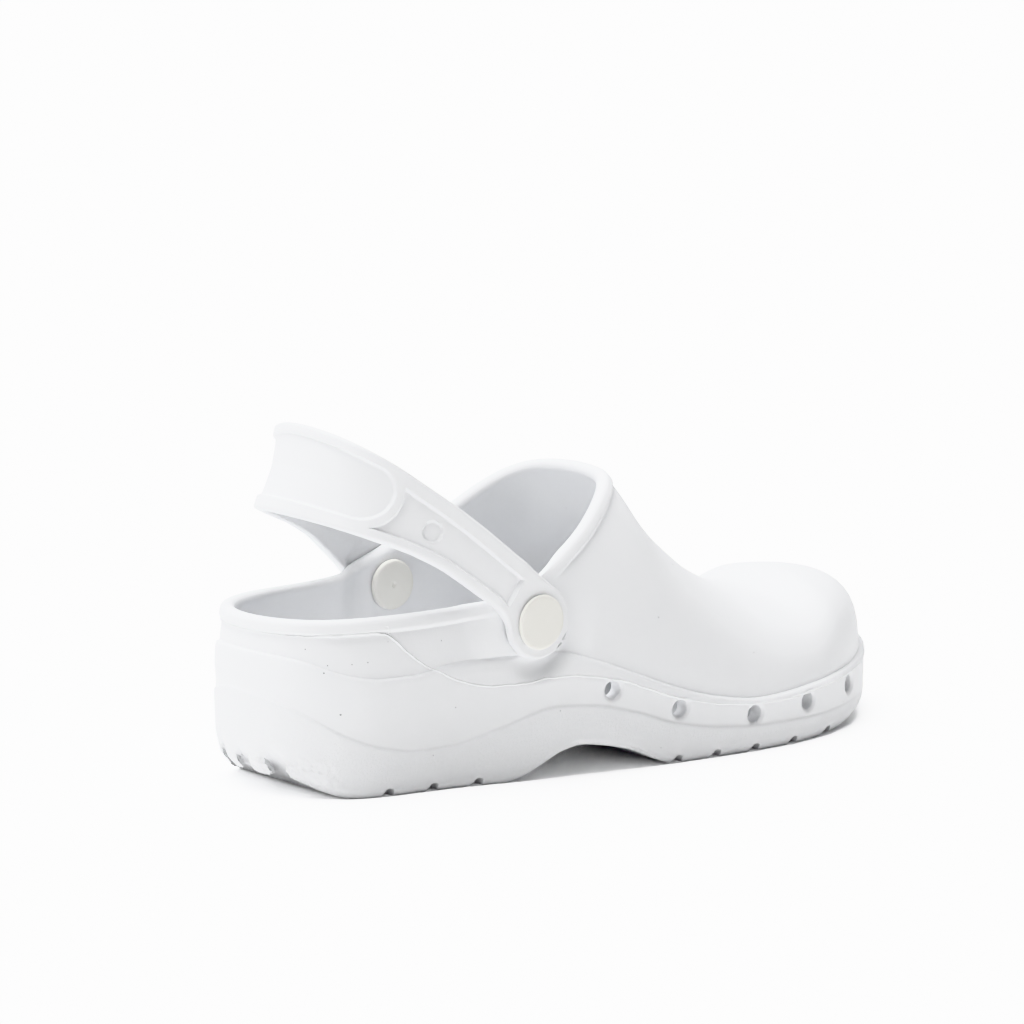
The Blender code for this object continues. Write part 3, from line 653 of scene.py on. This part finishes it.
def ragged(count, seed, step):
    """Smooth noise from -1 to 1 along a line."""
    knots = np.random.default_rng(seed).uniform(-1, 1, count // step + 3)
    return np.interp(np.arange(count) / step, np.arange(len(knots)), knots)


def ribbon(name, points, normals, width, height, closed):
    """A low raised line on a surface. Width and height hold a number for each point."""
    points, normals = np.array(points), np.array(normals)
    normals /= np.linalg.norm(normals, axis=1)[:, None] + 1e-12
    along = np.gradient(points, axis=0)
    if closed:
        along = np.roll(points, -1, 0) - np.roll(points, 1, 0)
    along /= np.linalg.norm(along, axis=1)[:, None]
    across = np.cross(normals, along)
    section = ((-1, -0.35), (-0.55, 0.55), (-0.1, 1.0), (0.35, 0.9), (1, -0.35))
    rows = [points + across * (width * a / 2)[:, None] + normals * (height * b)[:, None] for a, b in section]
    grid = np.stack(rows, 1)
    count, size = len(points), len(section)
    faces = []
    for i in range(count if closed else count - 1):
        n = (i + 1) % count
        for k in range(size):
            m = (k + 1) % size
            faces.append((i * size + k, i * size + m, n * size + m, n * size + k))
    if not closed:
        faces += [tuple(range(size)), tuple(range((count - 1) * size, count * size))]
    obj = link(name, grid.reshape(-1, 3), faces)
    shade(obj, 60)
    return obj


def add(tree, kind, inputs=None, **values):
    """A new node. An input is a socket to link from or a constant."""
    node = tree.nodes.new(kind)
    for key, value in values.items():
        setattr(node, key, value)
    for key, value in (inputs or {}).items():
        if isinstance(value, bpy.types.NodeSocket):
            tree.links.new(value, node.inputs[key])
        else:
            node.inputs[key].default_value = value
    return node


def moulded(name, colour, shadow, grain, roughness, specks=0.0, band=False):
    """Moulded foam or plastic: cloudy colour, fine grain, a few specks and the shell's textured band."""
    material = bpy.data.materials.new(name)
    material.use_nodes = True
    tree = material.node_tree
    shader = tree.nodes["Principled BSDF"]
    spot = add(tree, "ShaderNodeTexCoord").outputs["Object"]

    def noise(scale, detail, rough=0.5):
        inputs = {"Vector": spot, "Scale": scale, "Detail": detail, "Roughness": rough}
        return add(tree, "ShaderNodeTexNoise", inputs).outputs["Fac"]

    def cells(scale):
        return add(tree, "ShaderNodeTexVoronoi", {"Vector": spot, "Scale": scale}).outputs

    def share(key):
        return add(tree, "ShaderNodeAttribute", attribute_name=key).outputs["Fac"]

    def compute(operation, first, second):
        return add(tree, "ShaderNodeMath", {0: first, 1: second}, operation=operation).outputs[0]

    def blend(factor, first, second):
        return add(tree, "ShaderNodeMix", {0: factor, 6: first, 7: second}, data_type="RGBA").outputs[2]

    def bump(height, strength, distance, below=None):
        inputs = {"Strength": strength, "Distance": distance, "Height": height}
        if below:
            inputs["Normal"] = below
        return add(tree, "ShaderNodeBump", inputs).outputs["Normal"]

    cloud = noise(34.0, 4.0, 0.6)
    shown = blend(cloud, (*shadow, 1), (*colour, 1))
    if specks:
        dots = cells(130.0)
        small = compute("LESS_THAN", dots["Distance"], 0.028)
        pick = add(tree, "ShaderNodeSeparateColor", {"Color": dots["Color"]}).outputs[0]
        both = compute("MULTIPLY", small, compute("GREATER_THAN", pick, 0.9))
        shown = blend(compute("MULTIPLY", both, specks), shown, (0.25, 0.25, 0.25, 1))
    tree.links.new(shown, shader.inputs["Base Color"])
    rough = add(tree, "ShaderNodeMapRange", {0: cloud, 3: roughness - 0.06, 4: roughness + 0.08})
    tree.links.new(rough.outputs[0], shader.inputs["Roughness"])
    normal = bump(noise(420.0, 5.0, 0.65), 0.35, grain)
    normal = bump(noise(60.0, 2.0), 0.25, grain * 6, normal)
    if band:
        fibre = compute("MULTIPLY", noise(850.0, 6.0, 0.75), share("band"))
        normal = bump(fibre, 0.6, grain * 4, normal)
        pebbles = compute("MULTIPLY", cells(520.0)["Distance"], share("rear"))
        normal = bump(pebbles, 0.8, grain * 9, normal)
    tree.links.new(normal, shader.inputs["Normal"])
    shader.inputs["Specular IOR Level"].default_value = 0.35
    return material


def finish_piece(obj, material, slot, *nodes):
    """Gives a piece its material and hides the CAD nodes it stands for. The slot is not used."""
    obj.data.materials.clear()
    obj.data.materials.append(material)
    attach(obj, "root")
    if nodes:
        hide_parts(*nodes)


def foam():
    settings = bpy.context.scene.clog_finish
    return bpy.data.materials.get("white_foam") or moulded(
        "white_foam", settings.foam, settings.foam_shadow, 0.00012, 0.5, specks=0.5, band=True
    )


def rivet_plastic():
    return bpy.data.materials.get("ivory_plastic") or moulded(
        "ivory_plastic", bpy.context.scene.clog_finish.rivet, (0.86, 0.85, 0.805), 0.00004, 0.4
    )


def add_flash(name, points, normals, width, height, closed=False):
    """A ribbon of flash as a piece of its own. Width and height are numbers or hold one for each point."""
    width, height = (np.broadcast_to(values, len(points)) for values in (width, height))
    finish_piece(ribbon(name, points, normals, width, height, closed), foam(), "foam")


class ClogShellSettings(bpy.types.PropertyGroup):
    columns: IntProperty(name="Columns", description="Columns of faces round the shell", default=440, min=92)
    bead_width: FloatProperty(name="Bead width", description="Width of the collar's bead in mm", default=5.0)
    bead_height: FloatProperty(name="Bead height", description="Height of the bead in mm", default=1.15)
    vent_lip: FloatProperty(name="Vent lip", description="Width of the lip round a vent in mm", default=1.7)
    flash_height: FloatProperty(name="Flash", description="Height of the parting flash in mm", default=0.42)
    flash_width: FloatProperty(name="Flash width", description="Width of the flash in mm", default=0.9)


class ClogStrapSettings(bpy.types.PropertyGroup):
    rise: FloatProperty(
        name="Rise", description="Angle of the strap over level", default=math.radians(37.5), subtype="ANGLE"
    )
    lean: FloatProperty(
        name="Lean", description="Lean of the back band", default=math.radians(18), subtype="ANGLE"
    )
    reach: FloatProperty(name="Reach", description="Rivet axis to the back of the strap in mm", default=92.0)
    back_radius: FloatProperty(name="Back radius", description="Radius of the round back in mm", default=34.0)
    thickness: FloatProperty(name="Thickness", description="Thickness of the band in mm", default=4.3)
    boss_thickness: FloatProperty(name="Boss", description="Thickness at the rivets in mm", default=3.2)
    recess: FloatProperty(name="Recess", description="Depth of the sunk panels in mm", default=1.2)


class ClogRivetSettings(bpy.types.PropertyGroup):
    cap_radius: FloatProperty(name="Cap radius", description="Radius of the outer head in mm", default=9.5)
    cap_height: FloatProperty(name="Cap height", description="Height of the outer head in mm", default=1.5)
    button_radius: FloatProperty(name="Button radius", description="Inner head's radius in mm", default=8.8)
    button_height: FloatProperty(name="Button height", description="Inner head's height in mm", default=2.0)
    post_radius: FloatProperty(name="Post radius", description="Radius of the post in mm", default=3.2)


class ClogFinishSettings(bpy.types.PropertyGroup):
    foam: FloatVectorProperty(
        name="Foam", description="Colour of the foam", default=(0.895, 0.9, 0.91), subtype="COLOR"
    )
    foam_shadow: FloatVectorProperty(
        name="Foam, cloudy", description="Darker tone", default=(0.875, 0.882, 0.894), subtype="COLOR"
    )
    insole: FloatVectorProperty(
        name="Insole", description="Colour of the insole", default=(0.88, 0.887, 0.905), subtype="COLOR"
    )
    rivet: FloatVectorProperty(
        name="Rivets", description="Colour of the rivets", default=(0.88, 0.872, 0.83), subtype="COLOR"
    )


class ClogStageSettings(bpy.types.PropertyGroup):
    azimuth: FloatProperty(name="Azimuth", description="Camera azimuth", default=-39.0657)
    elevation: FloatProperty(name="Elevation", description="Camera elevation", default=10.1394)
    roll: FloatProperty(name="Roll", description="Camera roll", default=1.0927)
    distance: FloatProperty(name="Distance", description="Camera distance", default=2.5, unit="LENGTH")
    lens: FloatProperty(name="Lens", description="Focal length in mm", default=252.33)
    aim: FloatVectorProperty(
        name="Aim", description="Point at the picture's middle", default=(0.085042, 0.016692, 0.080516)
    )
    bright: FloatProperty(name="Bright side", description="Room's strength beyond the shoe", default=0.27)
    dim: FloatProperty(name="Dim side", description="Strength of the room on the outer side", default=0.05)
    top: FloatProperty(name="Top light", description="Strength of the wide top light", default=4.2)
    steep: FloatProperty(name="Steep light", description="Strength of the narrow top light", default=0.8)
    heel: FloatProperty(name="Heel light", description="Strength of the light behind the heel", default=0.5)
    backdrop: FloatProperty(name="Backdrop", description="Room's strength to the camera", default=12.0)
    floor_tone: FloatProperty(name="Floor tone", description="Floor's whiteness to the camera", default=2.1)


class CLOG_OT_shell(bpy.types.Operator):
    """Moulded shell with vents, tread grooves, flutes and the collar's bead"""

    bl_idname = "clog.shell"
    bl_label = "Shell"

    def execute(self, context):
        settings = context.scene.clog_shell
        grid, _, band, stations = shell_grid(settings.columns, settings.bead_width, settings.bead_height)
        rear = np.broadcast_to(1 - ease((stations - 8) / 16), band.shape) * band
        rear = rear * (1 - ease((grid[..., 2] - 9) / 8))
        faces = loop_faces(*grid.shape[:2])
        obj = link("clog_body", grid.reshape(-1, 3), faces, {"band": band, "rear": rear})
        round_vents(obj, settings.vent_lip, 1.0)
        shapes = [rod(p - n * 6, p + n * (SOLE_WALL + 5), VENT_RADIUS, ROUND_SIDES) for p, n in vent_axes()]
        # A groove's section: a wide foot below the tread and a round crest
        half = GROOVE_WIDTH / 2
        section = [(-half - 1.6, -3 - GROOVE_DEPTH), (half + 0.6, -3 - GROOVE_DEPTH)]
        section += [
            (0.35 + (half - 1.25) * math.cos(a), math.sin(a) - 1.0) for a in np.linspace(0, math.pi, 9)
        ]
        for x in HEEL_GROOVES + TOE_GROOVES:
            top = float(smooth(GROUND, x)) + GROOVE_DEPTH
            shapes.append(prism(*[[(x + dx, y, top + dz) for dx, dz in section] for y in (-70, 70)]))
        shapes += [rod(*flute_axis(y), FLUTE_RADIUS, 24) for y in FLUTES]
        cut(obj, shapes + bores())
        soften_flutes(obj)
        shade(obj, 42)
        finish_piece(obj, foam(), "foam", "clog_shell")
        return {"FINISHED"}


class CLOG_OT_flash(bpy.types.Operator):
    """Thin ragged flash along the mould's parting lines, and the small pits of the foam drawn as caps of
    painted shade
    """

    bl_idname = "clog.flash"
    bl_label = "Flash and pits"

    def execute(self, context):
        settings = context.scene.clog_shell
        grid, count, _, stations = shell_grid(settings.columns, settings.bead_width, settings.bead_height)
        self.parting_flash(settings, *surface_line(grid, count, stations, 0.5, PARTING))
        self.tread_flash(*surface_line(grid, count, stations, 0.35, [(x, z + 0.9) for x, z in GROUND]))
        self.mould_lines(grid, count, stations)
        self.pits(grid[:count], len(stations) // 2 + 1)
        return {"FINISHED"}

    def parting_flash(self, settings, points, normals):
        """Flash all round the shoe, twice as high where it climbs to the heel's rim."""
        size = len(points)
        height = settings.flash_height * (0.75 + 0.25 * ragged(size, 3, 5) + 0.15 * ragged(size, 4, 2))
        height *= 1 + 0.8 * (1 - ease((points[:, 0] - 40) / 16))
        width = settings.flash_width * (1 + 0.2 * ragged(size, 5, 7))
        points[:, 2] += 0.16 * ragged(size, 6, 6)
        add_flash("parting_flash", points, normals, width, height, True)

    def tread_flash(self, points, normals):
        """Torn flash under the sole's outer edge, where the arch meets the ball of the foot."""
        picked = np.flatnonzero((points[:, 0] > 129) & (points[:, 0] < 149) & (points[:, 1] < 0))
        size = len(picked)
        taper = np.sin(np.linspace(0.15, math.pi - 0.15, size))
        height = taper * np.maximum(0.05, 0.55 + 0.45 * ragged(size, 21, 2) + 0.25 * ragged(size, 22, 5))
        drop = normals[picked] + (0, 0, -0.45)
        add_flash("tread_flash", points[picked], drop, 1.1 + 0.3 * ragged(size, 23, 3), height)

    def mould_lines(self, grid, count, stations):
        """Short lines from the rim down to the flash, where two parts of the mould meet at the heel."""
        heights = np.linspace(55.4, 60.2, 12)
        levels = [surface_line(grid, count, stations, 0.5, ((0, h), (283, h))) for h in heights]
        for label, way in (("outer", -1), ("inner", 1)):
            line, across = [], []
            for (where, normal), h in zip(levels, heights):
                side = where[:, 1] * way > 0
                at = np.argmin(np.abs(where[side, 0] - (39.6 - (h - 55.4) * 0.45)))
                line.append(where[side][at])
                across.append(normal[side][at])
            add_flash(f"mould_line_{label}", line, across, 0.55, 0.22)

    def pits(self, outside, columns):
        """Small pits, each a low dark cap on the outer side's wall, painted with the shade that lies in a pit.
        """
        wall, facing = outside[:, :columns], surface_normals(outside)[:, :columns]
        sides = 12
        vertices, faces = [], []
        for x, z, radius in PITS:
            at = np.unravel_index(np.argmin(np.hypot(wall[..., 0] - x, wall[..., 2] - z)), wall.shape[:2])
            centre, out = wall[at], facing[at]
            flat = np.cross(out, (0, 0, 1))
            flat /= np.linalg.norm(flat)
            up = np.cross(out, flat)
            start = len(vertices)
            vertices.append(centre + out * 0.05)
            for ring, lift in ((0.6, 0.045), (1.0, -0.08)):
                for a in np.linspace(0, 2 * math.pi, sides, endpoint=False):
                    wobble = radius * ring * (1 + 0.18 * math.sin(3 * a + x))
                    around = flat * math.cos(a) + up * math.sin(a)
                    vertices.append(centre + around * wobble + out * lift)
            inner, outer = start + 1, start + 1 + sides
            for k in range(sides):
                n = (k + 1) % sides
                faces.append((start, inner + k, inner + n))
                faces.append((inner + k, outer + k, outer + n, inner + n))
        obj = link("pits", vertices, faces)
        shade(obj)
        # Painted shade: the caps are dark grey to stand for the shade inside each pit
        pit_shade = moulded("pit_shadow", (0.42, 0.42, 0.43), (0.3, 0.3, 0.31), 0.00005, 0.8)
        finish_piece(obj, pit_shade, "foam")


class CLOG_OT_insole(bpy.types.Operator):
    """Loose insole with a soft edge"""

    bl_idname = "clog.insole"
    bl_label = "Insole"

    def execute(self, context):
        plan = Plan(INSOLE_COLUMNS)
        floor = smooth(FLOOR, plan.stations) + GAP
        edge = SOLE_WALL + FLOOR_FILLET + GAP
        profile = [(0, 0), (-0.9, 0.35), (-1.8, 1.1), (-2.3, 1.8)]
        profile += [(-2.3, 2.3), (-2.0, 2.65), (-1.6, 2.8), (0.5, 2.8)]
        rows = [plan.ring(edge + inset, floor + up) for inset, up in profile]
        obj = link("footbed", np.concatenate(rows), loop_faces(len(rows), INSOLE_COLUMNS))
        shade(obj, 35)
        colour = context.scene.clog_finish.insole
        material = moulded("insole_foam", colour, tuple(c - 0.04 for c in colour), 0.0003, 0.62)
        finish_piece(obj, material, "insole_foam", "insole")
        return {"FINISHED"}


def strap_line(settings):
    """Stations from one rivet round the back to the other.

    Each has its distance back, offset to the side, turn, thickness, share of the lean, and length from the
    middle of the back.
    """
    bend = settings.reach - settings.back_radius
    radius = settings.back_radius - settings.thickness / 2
    boss = PAD_Y + GAP + settings.boss_thickness / 2
    taper = math.acos(radius / math.hypot(boss, bend - STRAIGHT)) - math.atan2(bend - STRAIGHT, boss)
    touch = bend + radius * math.sin(taper)
    rounded = -BOSS_RADIUS * np.cos(np.linspace(0.06, math.pi / 2, 26))
    back = np.concatenate([rounded, np.arange(0.55, touch - 0.3, 0.55)])
    thick = settings.boss_thickness + (settings.thickness - settings.boss_thickness) * ease((back - 9) / 9)
    offset = boss - np.maximum(0, back - STRAIGHT) * math.tan(taper) * ease((back - STRAIGHT) / 7 + 0.4)
    turn = taper * ease((back - STRAIGHT + 3) / 6)
    arm = np.column_stack([back, -offset, turn, thick, np.zeros(len(back))])
    turns = np.linspace(taper, math.pi - taper, 221)
    lean = ease((np.degrees(np.minimum(turns, math.pi - turns)) - 10) / 50)
    thick = np.full(len(turns), settings.thickness)
    rear = np.column_stack([bend + radius * np.sin(turns), -radius * np.cos(turns), turns, thick, lean])
    other = arm[::-1] * (1, -1, -1, 1, 1) + (0, 0, math.pi, 0, 0)
    line = np.vstack([arm, rear, other])
    length = arc(line[:, :2])
    return np.column_stack([line, np.abs(length - length[-1] / 2)])


def strap_grid(settings):
    """Closed sections of the strap, with its sunk panels."""
    back = np.array((-math.cos(settings.rise), 0, math.sin(settings.rise)))
    up = np.array((math.sin(settings.rise), 0, math.cos(settings.rise)))
    side = np.array((0.0, 1.0, 0.0))
    pivot = np.array((RIVET_X, 0, RIVET_Z))
    radius = settings.back_radius - settings.thickness / 2
    rows = []
    across = np.linspace(0, 1, 56)
    for away, offset, turn, thick, lean, s in strap_line(settings):
        out = math.sin(turn) * back - math.cos(turn) * side
        tilt = settings.lean * lean
        wide = math.cos(tilt) * up + math.sin(tilt) * out
        out = math.cos(tilt) * out - math.sin(tilt) * up
        middle = pivot + away * back + offset * side
        face = thick / 2
        if away < 0:
            top = math.sqrt(BOSS_RADIUS**2 - away**2)
            low = -top
        else:
            top, low = (float(smooth(STRAP_EDGES, away, k)) for k in (1, 2))
        soft = min(1.3, 0.2 * (top - low), 0.45 * thick)
        w = top - soft + (low - top + 2 * soft) * across
        # Panel of the back, with round ends, and a panel of each arm whose end follows it round
        end = radius * (math.pi / 2 - math.radians(36))
        high, under = top - BORDER, low + BACK_BORDER
        centre, half = (high + under) / 2, (high - under) / 2
        rear = half - np.hypot(max(0.0, s - end), w - centre)
        ring = np.hypot(s - end, w - centre) - half - BORDER
        bounds = [top - ARM_BORDER - w, w - low - BORDER, np.full(len(w), away - 15.2), ring]
        arm = np.min(bounds, axis=0) if s > end else np.full(len(w), -9.0)
        sunk = settings.recess * ease(np.maximum(rear, arm) / 0.8 + 0.3)
        sunk = sunk + 0.9 * np.clip(rear / half, 0, 1) ** 0.8
        if away > 0:
            mark = np.hypot(away - MARK_AWAY, w - MARK_UP)
            sunk = sunk + 0.7 * ease((MARK_RADIUS - mark) / 0.4 + 0.5)
        quarter = np.linspace(0, math.pi / 2, 6)[1:-1]
        flat = np.linspace(low + soft, top - soft, 12)
        points = [*zip(w, face - sunk)]
        points += [(low + soft - soft * math.sin(a), face - soft + soft * math.cos(a)) for a in quarter]
        points += [(low, face - soft), (low, soft - face)]
        points += [(low + soft - soft * math.cos(a), soft - face - soft * math.sin(a)) for a in quarter]
        points += [(v, -face) for v in flat]
        points += [(top - soft + soft * math.sin(a), soft - face - soft * math.cos(a)) for a in quarter]
        points += [(top, soft - face), (top, face - soft)]
        points += [(top - soft + soft * math.cos(a), face - soft + soft * math.sin(a)) for a in quarter]
        rows.append([middle + a * wide + b * out for a, b in points])
    return np.array(rows)


class CLOG_OT_strap(bpy.types.Operator):
    """Heel strap with sunk panels and round edges"""

    bl_idname = "clog.strap"
    bl_label = "Heel strap"

    def execute(self, context):
        grid = strap_grid(context.scene.clog_strap)
        count, size = grid.shape[:2]
        faces = [tuple(range(size)), tuple(range((count - 1) * size, count * size))]
        faces += loop_faces(count, size, False)
        obj = link("strap_band", grid.reshape(-1, 3), faces)
        cut(obj, bores())
        shade(obj, 42)
        finish_piece(obj, foam(), "foam", "heel_strap")
        # Flash along the lower edge, between the bosses. Points 61 and 62 of a section are on that edge, and
        # point 22 is on the outer face.
        between = grid[14:-14]
        edge = between[:, [61, 62]].mean(axis=1)
        add_flash("strap_flash", edge, edge - between[:, 22], 0.5, 0.16 + 0.05 * ragged(len(edge), 9, 6))
        return {"FINISHED"}


def turned(name, profile, side, sides=96):
    """A body turned round the rivets' axis from (radius, distance from the middle plane), on one side."""
    vertices, faces, rings = [], [], []
    for radius, out in profile:
        if radius == 0:
            rings.append([len(vertices)] * sides)
            vertices.append((RIVET_X, side * out, RIVET_Z))
            continue
        rings.append([len(vertices) + i for i in range(sides)])
        for a in np.linspace(0, 2 * math.pi, sides, endpoint=False):
            vertices.append((RIVET_X + radius * math.cos(a), side * out, RIVET_Z + radius * math.sin(a)))
    for first, second in zip(rings, rings[1:]):
        for i in range(sides):
            k = (i + 1) % sides
            faces.append(tuple(dict.fromkeys((first[i], first[k], second[k], second[i]))))
    obj = link(name, vertices, faces)
    shade(obj, 40)
    return obj


class CLOG_OT_rivets(bpy.types.Operator):
    """Outer rivet heads with their posts, and the inner buttons"""

    bl_idname = "clog.rivets"
    bl_label = "Rivets"

    def execute(self, context):
        settings = context.scene.clog_rivets
        strap = context.scene.clog_strap
        seat = PAD_Y + 2 * GAP + strap.boss_thickness
        inside = PAD_Y - WALL
        r, top = settings.cap_radius, seat + settings.cap_height
        cap = [(0, top), (r * 0.35, top - 0.01), (r - 2.4, top - 0.1), (r - 1.5, top - 0.17)]
        turns = np.linspace(0.2, 1.57, 7)
        cap += [(r - 0.95 + 0.95 * math.sin(a), top - 1.15 + 0.95 * math.cos(a)) for a in turns]
        cap += [(r, seat + 0.3), (r - 0.2, seat), (settings.post_radius, seat)]
        cap += [(settings.post_radius, inside), (0, inside)]
        face = inside - GAP
        r, low = settings.button_radius, face - settings.button_height
        button = [(0, face), (r - 0.2, face), (r, face - 0.3)]
        turns = np.linspace(0, 1.4, 7)
        button += [(r - 0.9 + 0.9 * math.cos(a), low + 1.0 - 0.9 * math.sin(a)) for a in turns]
        button += [(r - 2.0, low + 0.04), (1.3, low), (1.0, low + 0.06), (0.6, low + 0.4), (0, low + 0.5)]
        for side, label in ((-1, "lateral"), (1, "medial")):
            finish_piece(turned(f"cap_{label}", cap, side), rivet_plastic(), "rivet", f"rivet_{label}")
            finish_piece(turned(f"inner_{label}", button, side), rivet_plastic(), "rivet", f"button_{label}")
        return {"FINISHED"}


def soft_light(name, direction, strength, spread):
    """A wide, even light that comes from this direction."""
    data = bpy.data.lights.new(name, "SUN")
    data.energy, data.angle = strength, math.radians(spread)
    obj = bpy.data.objects.new(name, data)
    obj.rotation_euler = Vector(direction).to_track_quat("Z", "Y").to_euler()
    bpy.context.scene.collection.objects.link(obj)


def white_room(bright, dim, dim_side, backdrop):
    """Surroundings that are dimmer towards one side and plain white behind the shoe."""
    world = bpy.data.worlds.new("white_room")
    world.use_nodes = True
    tree = world.node_tree
    spot = add(tree, "ShaderNodeTexCoord").outputs["Generated"]
    way = Vector(dim_side).normalized()
    facing = add(tree, "ShaderNodeVectorMath", {0: spot, 1: way}, operation="DOT_PRODUCT")
    level = add(tree, "ShaderNodeMapRange", {0: facing.outputs["Value"], 1: -1.0, 2: 1.0, 3: bright, 4: dim})
    seen = add(tree, "ShaderNodeLightPath").outputs["Is Camera Ray"]
    strength = add(tree, "ShaderNodeMix", {0: seen, 2: level.outputs[0], 3: backdrop}, data_type="FLOAT")
    background = tree.nodes["Background"]
    background.inputs["Color"].default_value = (1, 1, 1, 1)
    tree.links.new(strength.outputs[0], background.inputs["Strength"])
    return world


class CLOG_OT_stage(bpy.types.Operator):
    """Pale floor, soft light and the camera"""

    bl_idname = "clog.stage"
    bl_label = "Stage"

    def execute(self, context):
        settings = context.scene.clog_stage
        mesh = bpy.data.meshes.new("floor")
        mesh.from_pydata([(-6, -6, 0), (6, -6, 0), (6, 6, 0), (-6, 6, 0)], [], [(0, 1, 2, 3)])
        floor = bpy.data.objects.new("floor", mesh)
        context.scene.collection.objects.link(floor)
        pale = bpy.data.materials.new("pale_floor")
        pale.use_nodes = True
        tree = pale.node_tree
        tree.nodes.remove(tree.nodes["Principled BSDF"])
        seen = add(tree, "ShaderNodeLightPath").outputs["Is Camera Ray"]
        tone = add(tree, "ShaderNodeMix", {0: seen, 2: 0.95, 3: settings.floor_tone}, data_type="FLOAT")
        white = add(tree, "ShaderNodeBsdfDiffuse", {"Color": tone.outputs[0]})
        tree.links.new(white.outputs[0], tree.nodes["Material Output"].inputs["Surface"])
        mesh.materials.append(pale)
        context.scene.world = white_room(settings.bright, settings.dim, (0.15, -1.0, 0.1), settings.backdrop)
        context.scene.view_settings.view_transform = "Khronos PBR Neutral"
        soft_light("top_light", (-0.1, 0.27, 1.0), settings.top, 70)
        soft_light("steep_light", (-0.25, 0.0, 1.0), settings.steep, 30)
        soft_light("heel_light", (-1.0, 0.1, 0.45), settings.heel, 60)
        angles = (settings.azimuth, settings.elevation, settings.roll)
        azimuth, elevation, roll = (math.radians(angle) for angle in angles)
        level = math.cos(elevation)
        back = Vector((math.sin(azimuth) * level, -math.cos(azimuth) * level, math.sin(elevation)))
        right = Vector((math.cos(azimuth), math.sin(azimuth), 0))
        up = back.cross(right)
        across = right * math.cos(roll) + up * math.sin(roll)
        upright = up * math.cos(roll) - right * math.sin(roll)
        data = bpy.data.cameras.new("camera")
        data.lens, data.sensor_width, data.clip_start = settings.lens, 36, 0.1
        camera = bpy.data.objects.new("camera", data)
        camera.matrix_world = Matrix.Translation(Vector(settings.aim) + back * settings.distance) @ (
            Matrix((across, upright, back)).transposed().to_4x4()
        )
        context.scene.collection.objects.link(camera)
        context.scene.camera = camera
        return {"FINISHED"}


class CLOG_PT_panel(bpy.types.Panel):
    """Lists the clog's pieces and their settings"""

    bl_idname = "CLOG_PT_panel"
    bl_label = "Clog"
    bl_space_type = "VIEW_3D"
    bl_region_type = "UI"
    bl_category = "Clog"

    def draw(self, context):
        for group in SETTINGS:
            box = self.layout.box()
            for key in getattr(context.scene, group).bl_rna.properties.keys():
                if key not in ("rna_type", "name"):
                    box.prop(getattr(context.scene, group), key)
        for operator in OPERATORS:
            self.layout.operator(operator.bl_idname)


SETTINGS = {
    "clog_shell": ClogShellSettings,
    "clog_strap": ClogStrapSettings,
    "clog_rivets": ClogRivetSettings,
    "clog_finish": ClogFinishSettings,
    "clog_stage": ClogStageSettings,
}
OPERATORS = (CLOG_OT_shell, CLOG_OT_flash, CLOG_OT_insole, CLOG_OT_strap, CLOG_OT_rivets, CLOG_OT_stage)


def register():
    for kind in (*SETTINGS.values(), *OPERATORS, CLOG_PT_panel):
        bpy.utils.register_class(kind)
    for name, kind in SETTINGS.items():
        setattr(bpy.types.Scene, name, PointerProperty(type=kind))


def unregister():
    for name in SETTINGS:
        delattr(bpy.types.Scene, name)
    for kind in (*SETTINGS.values(), *OPERATORS, CLOG_PT_panel):
        bpy.utils.unregister_class(kind)


def main():
    register()
    bpy.ops.clog.shell()
    bpy.ops.clog.flash()
    bpy.ops.clog.insole()
    bpy.ops.clog.strap()
    bpy.ops.clog.rivets()
    bpy.ops.clog.stage()


if __name__ == "__main__":
    main()
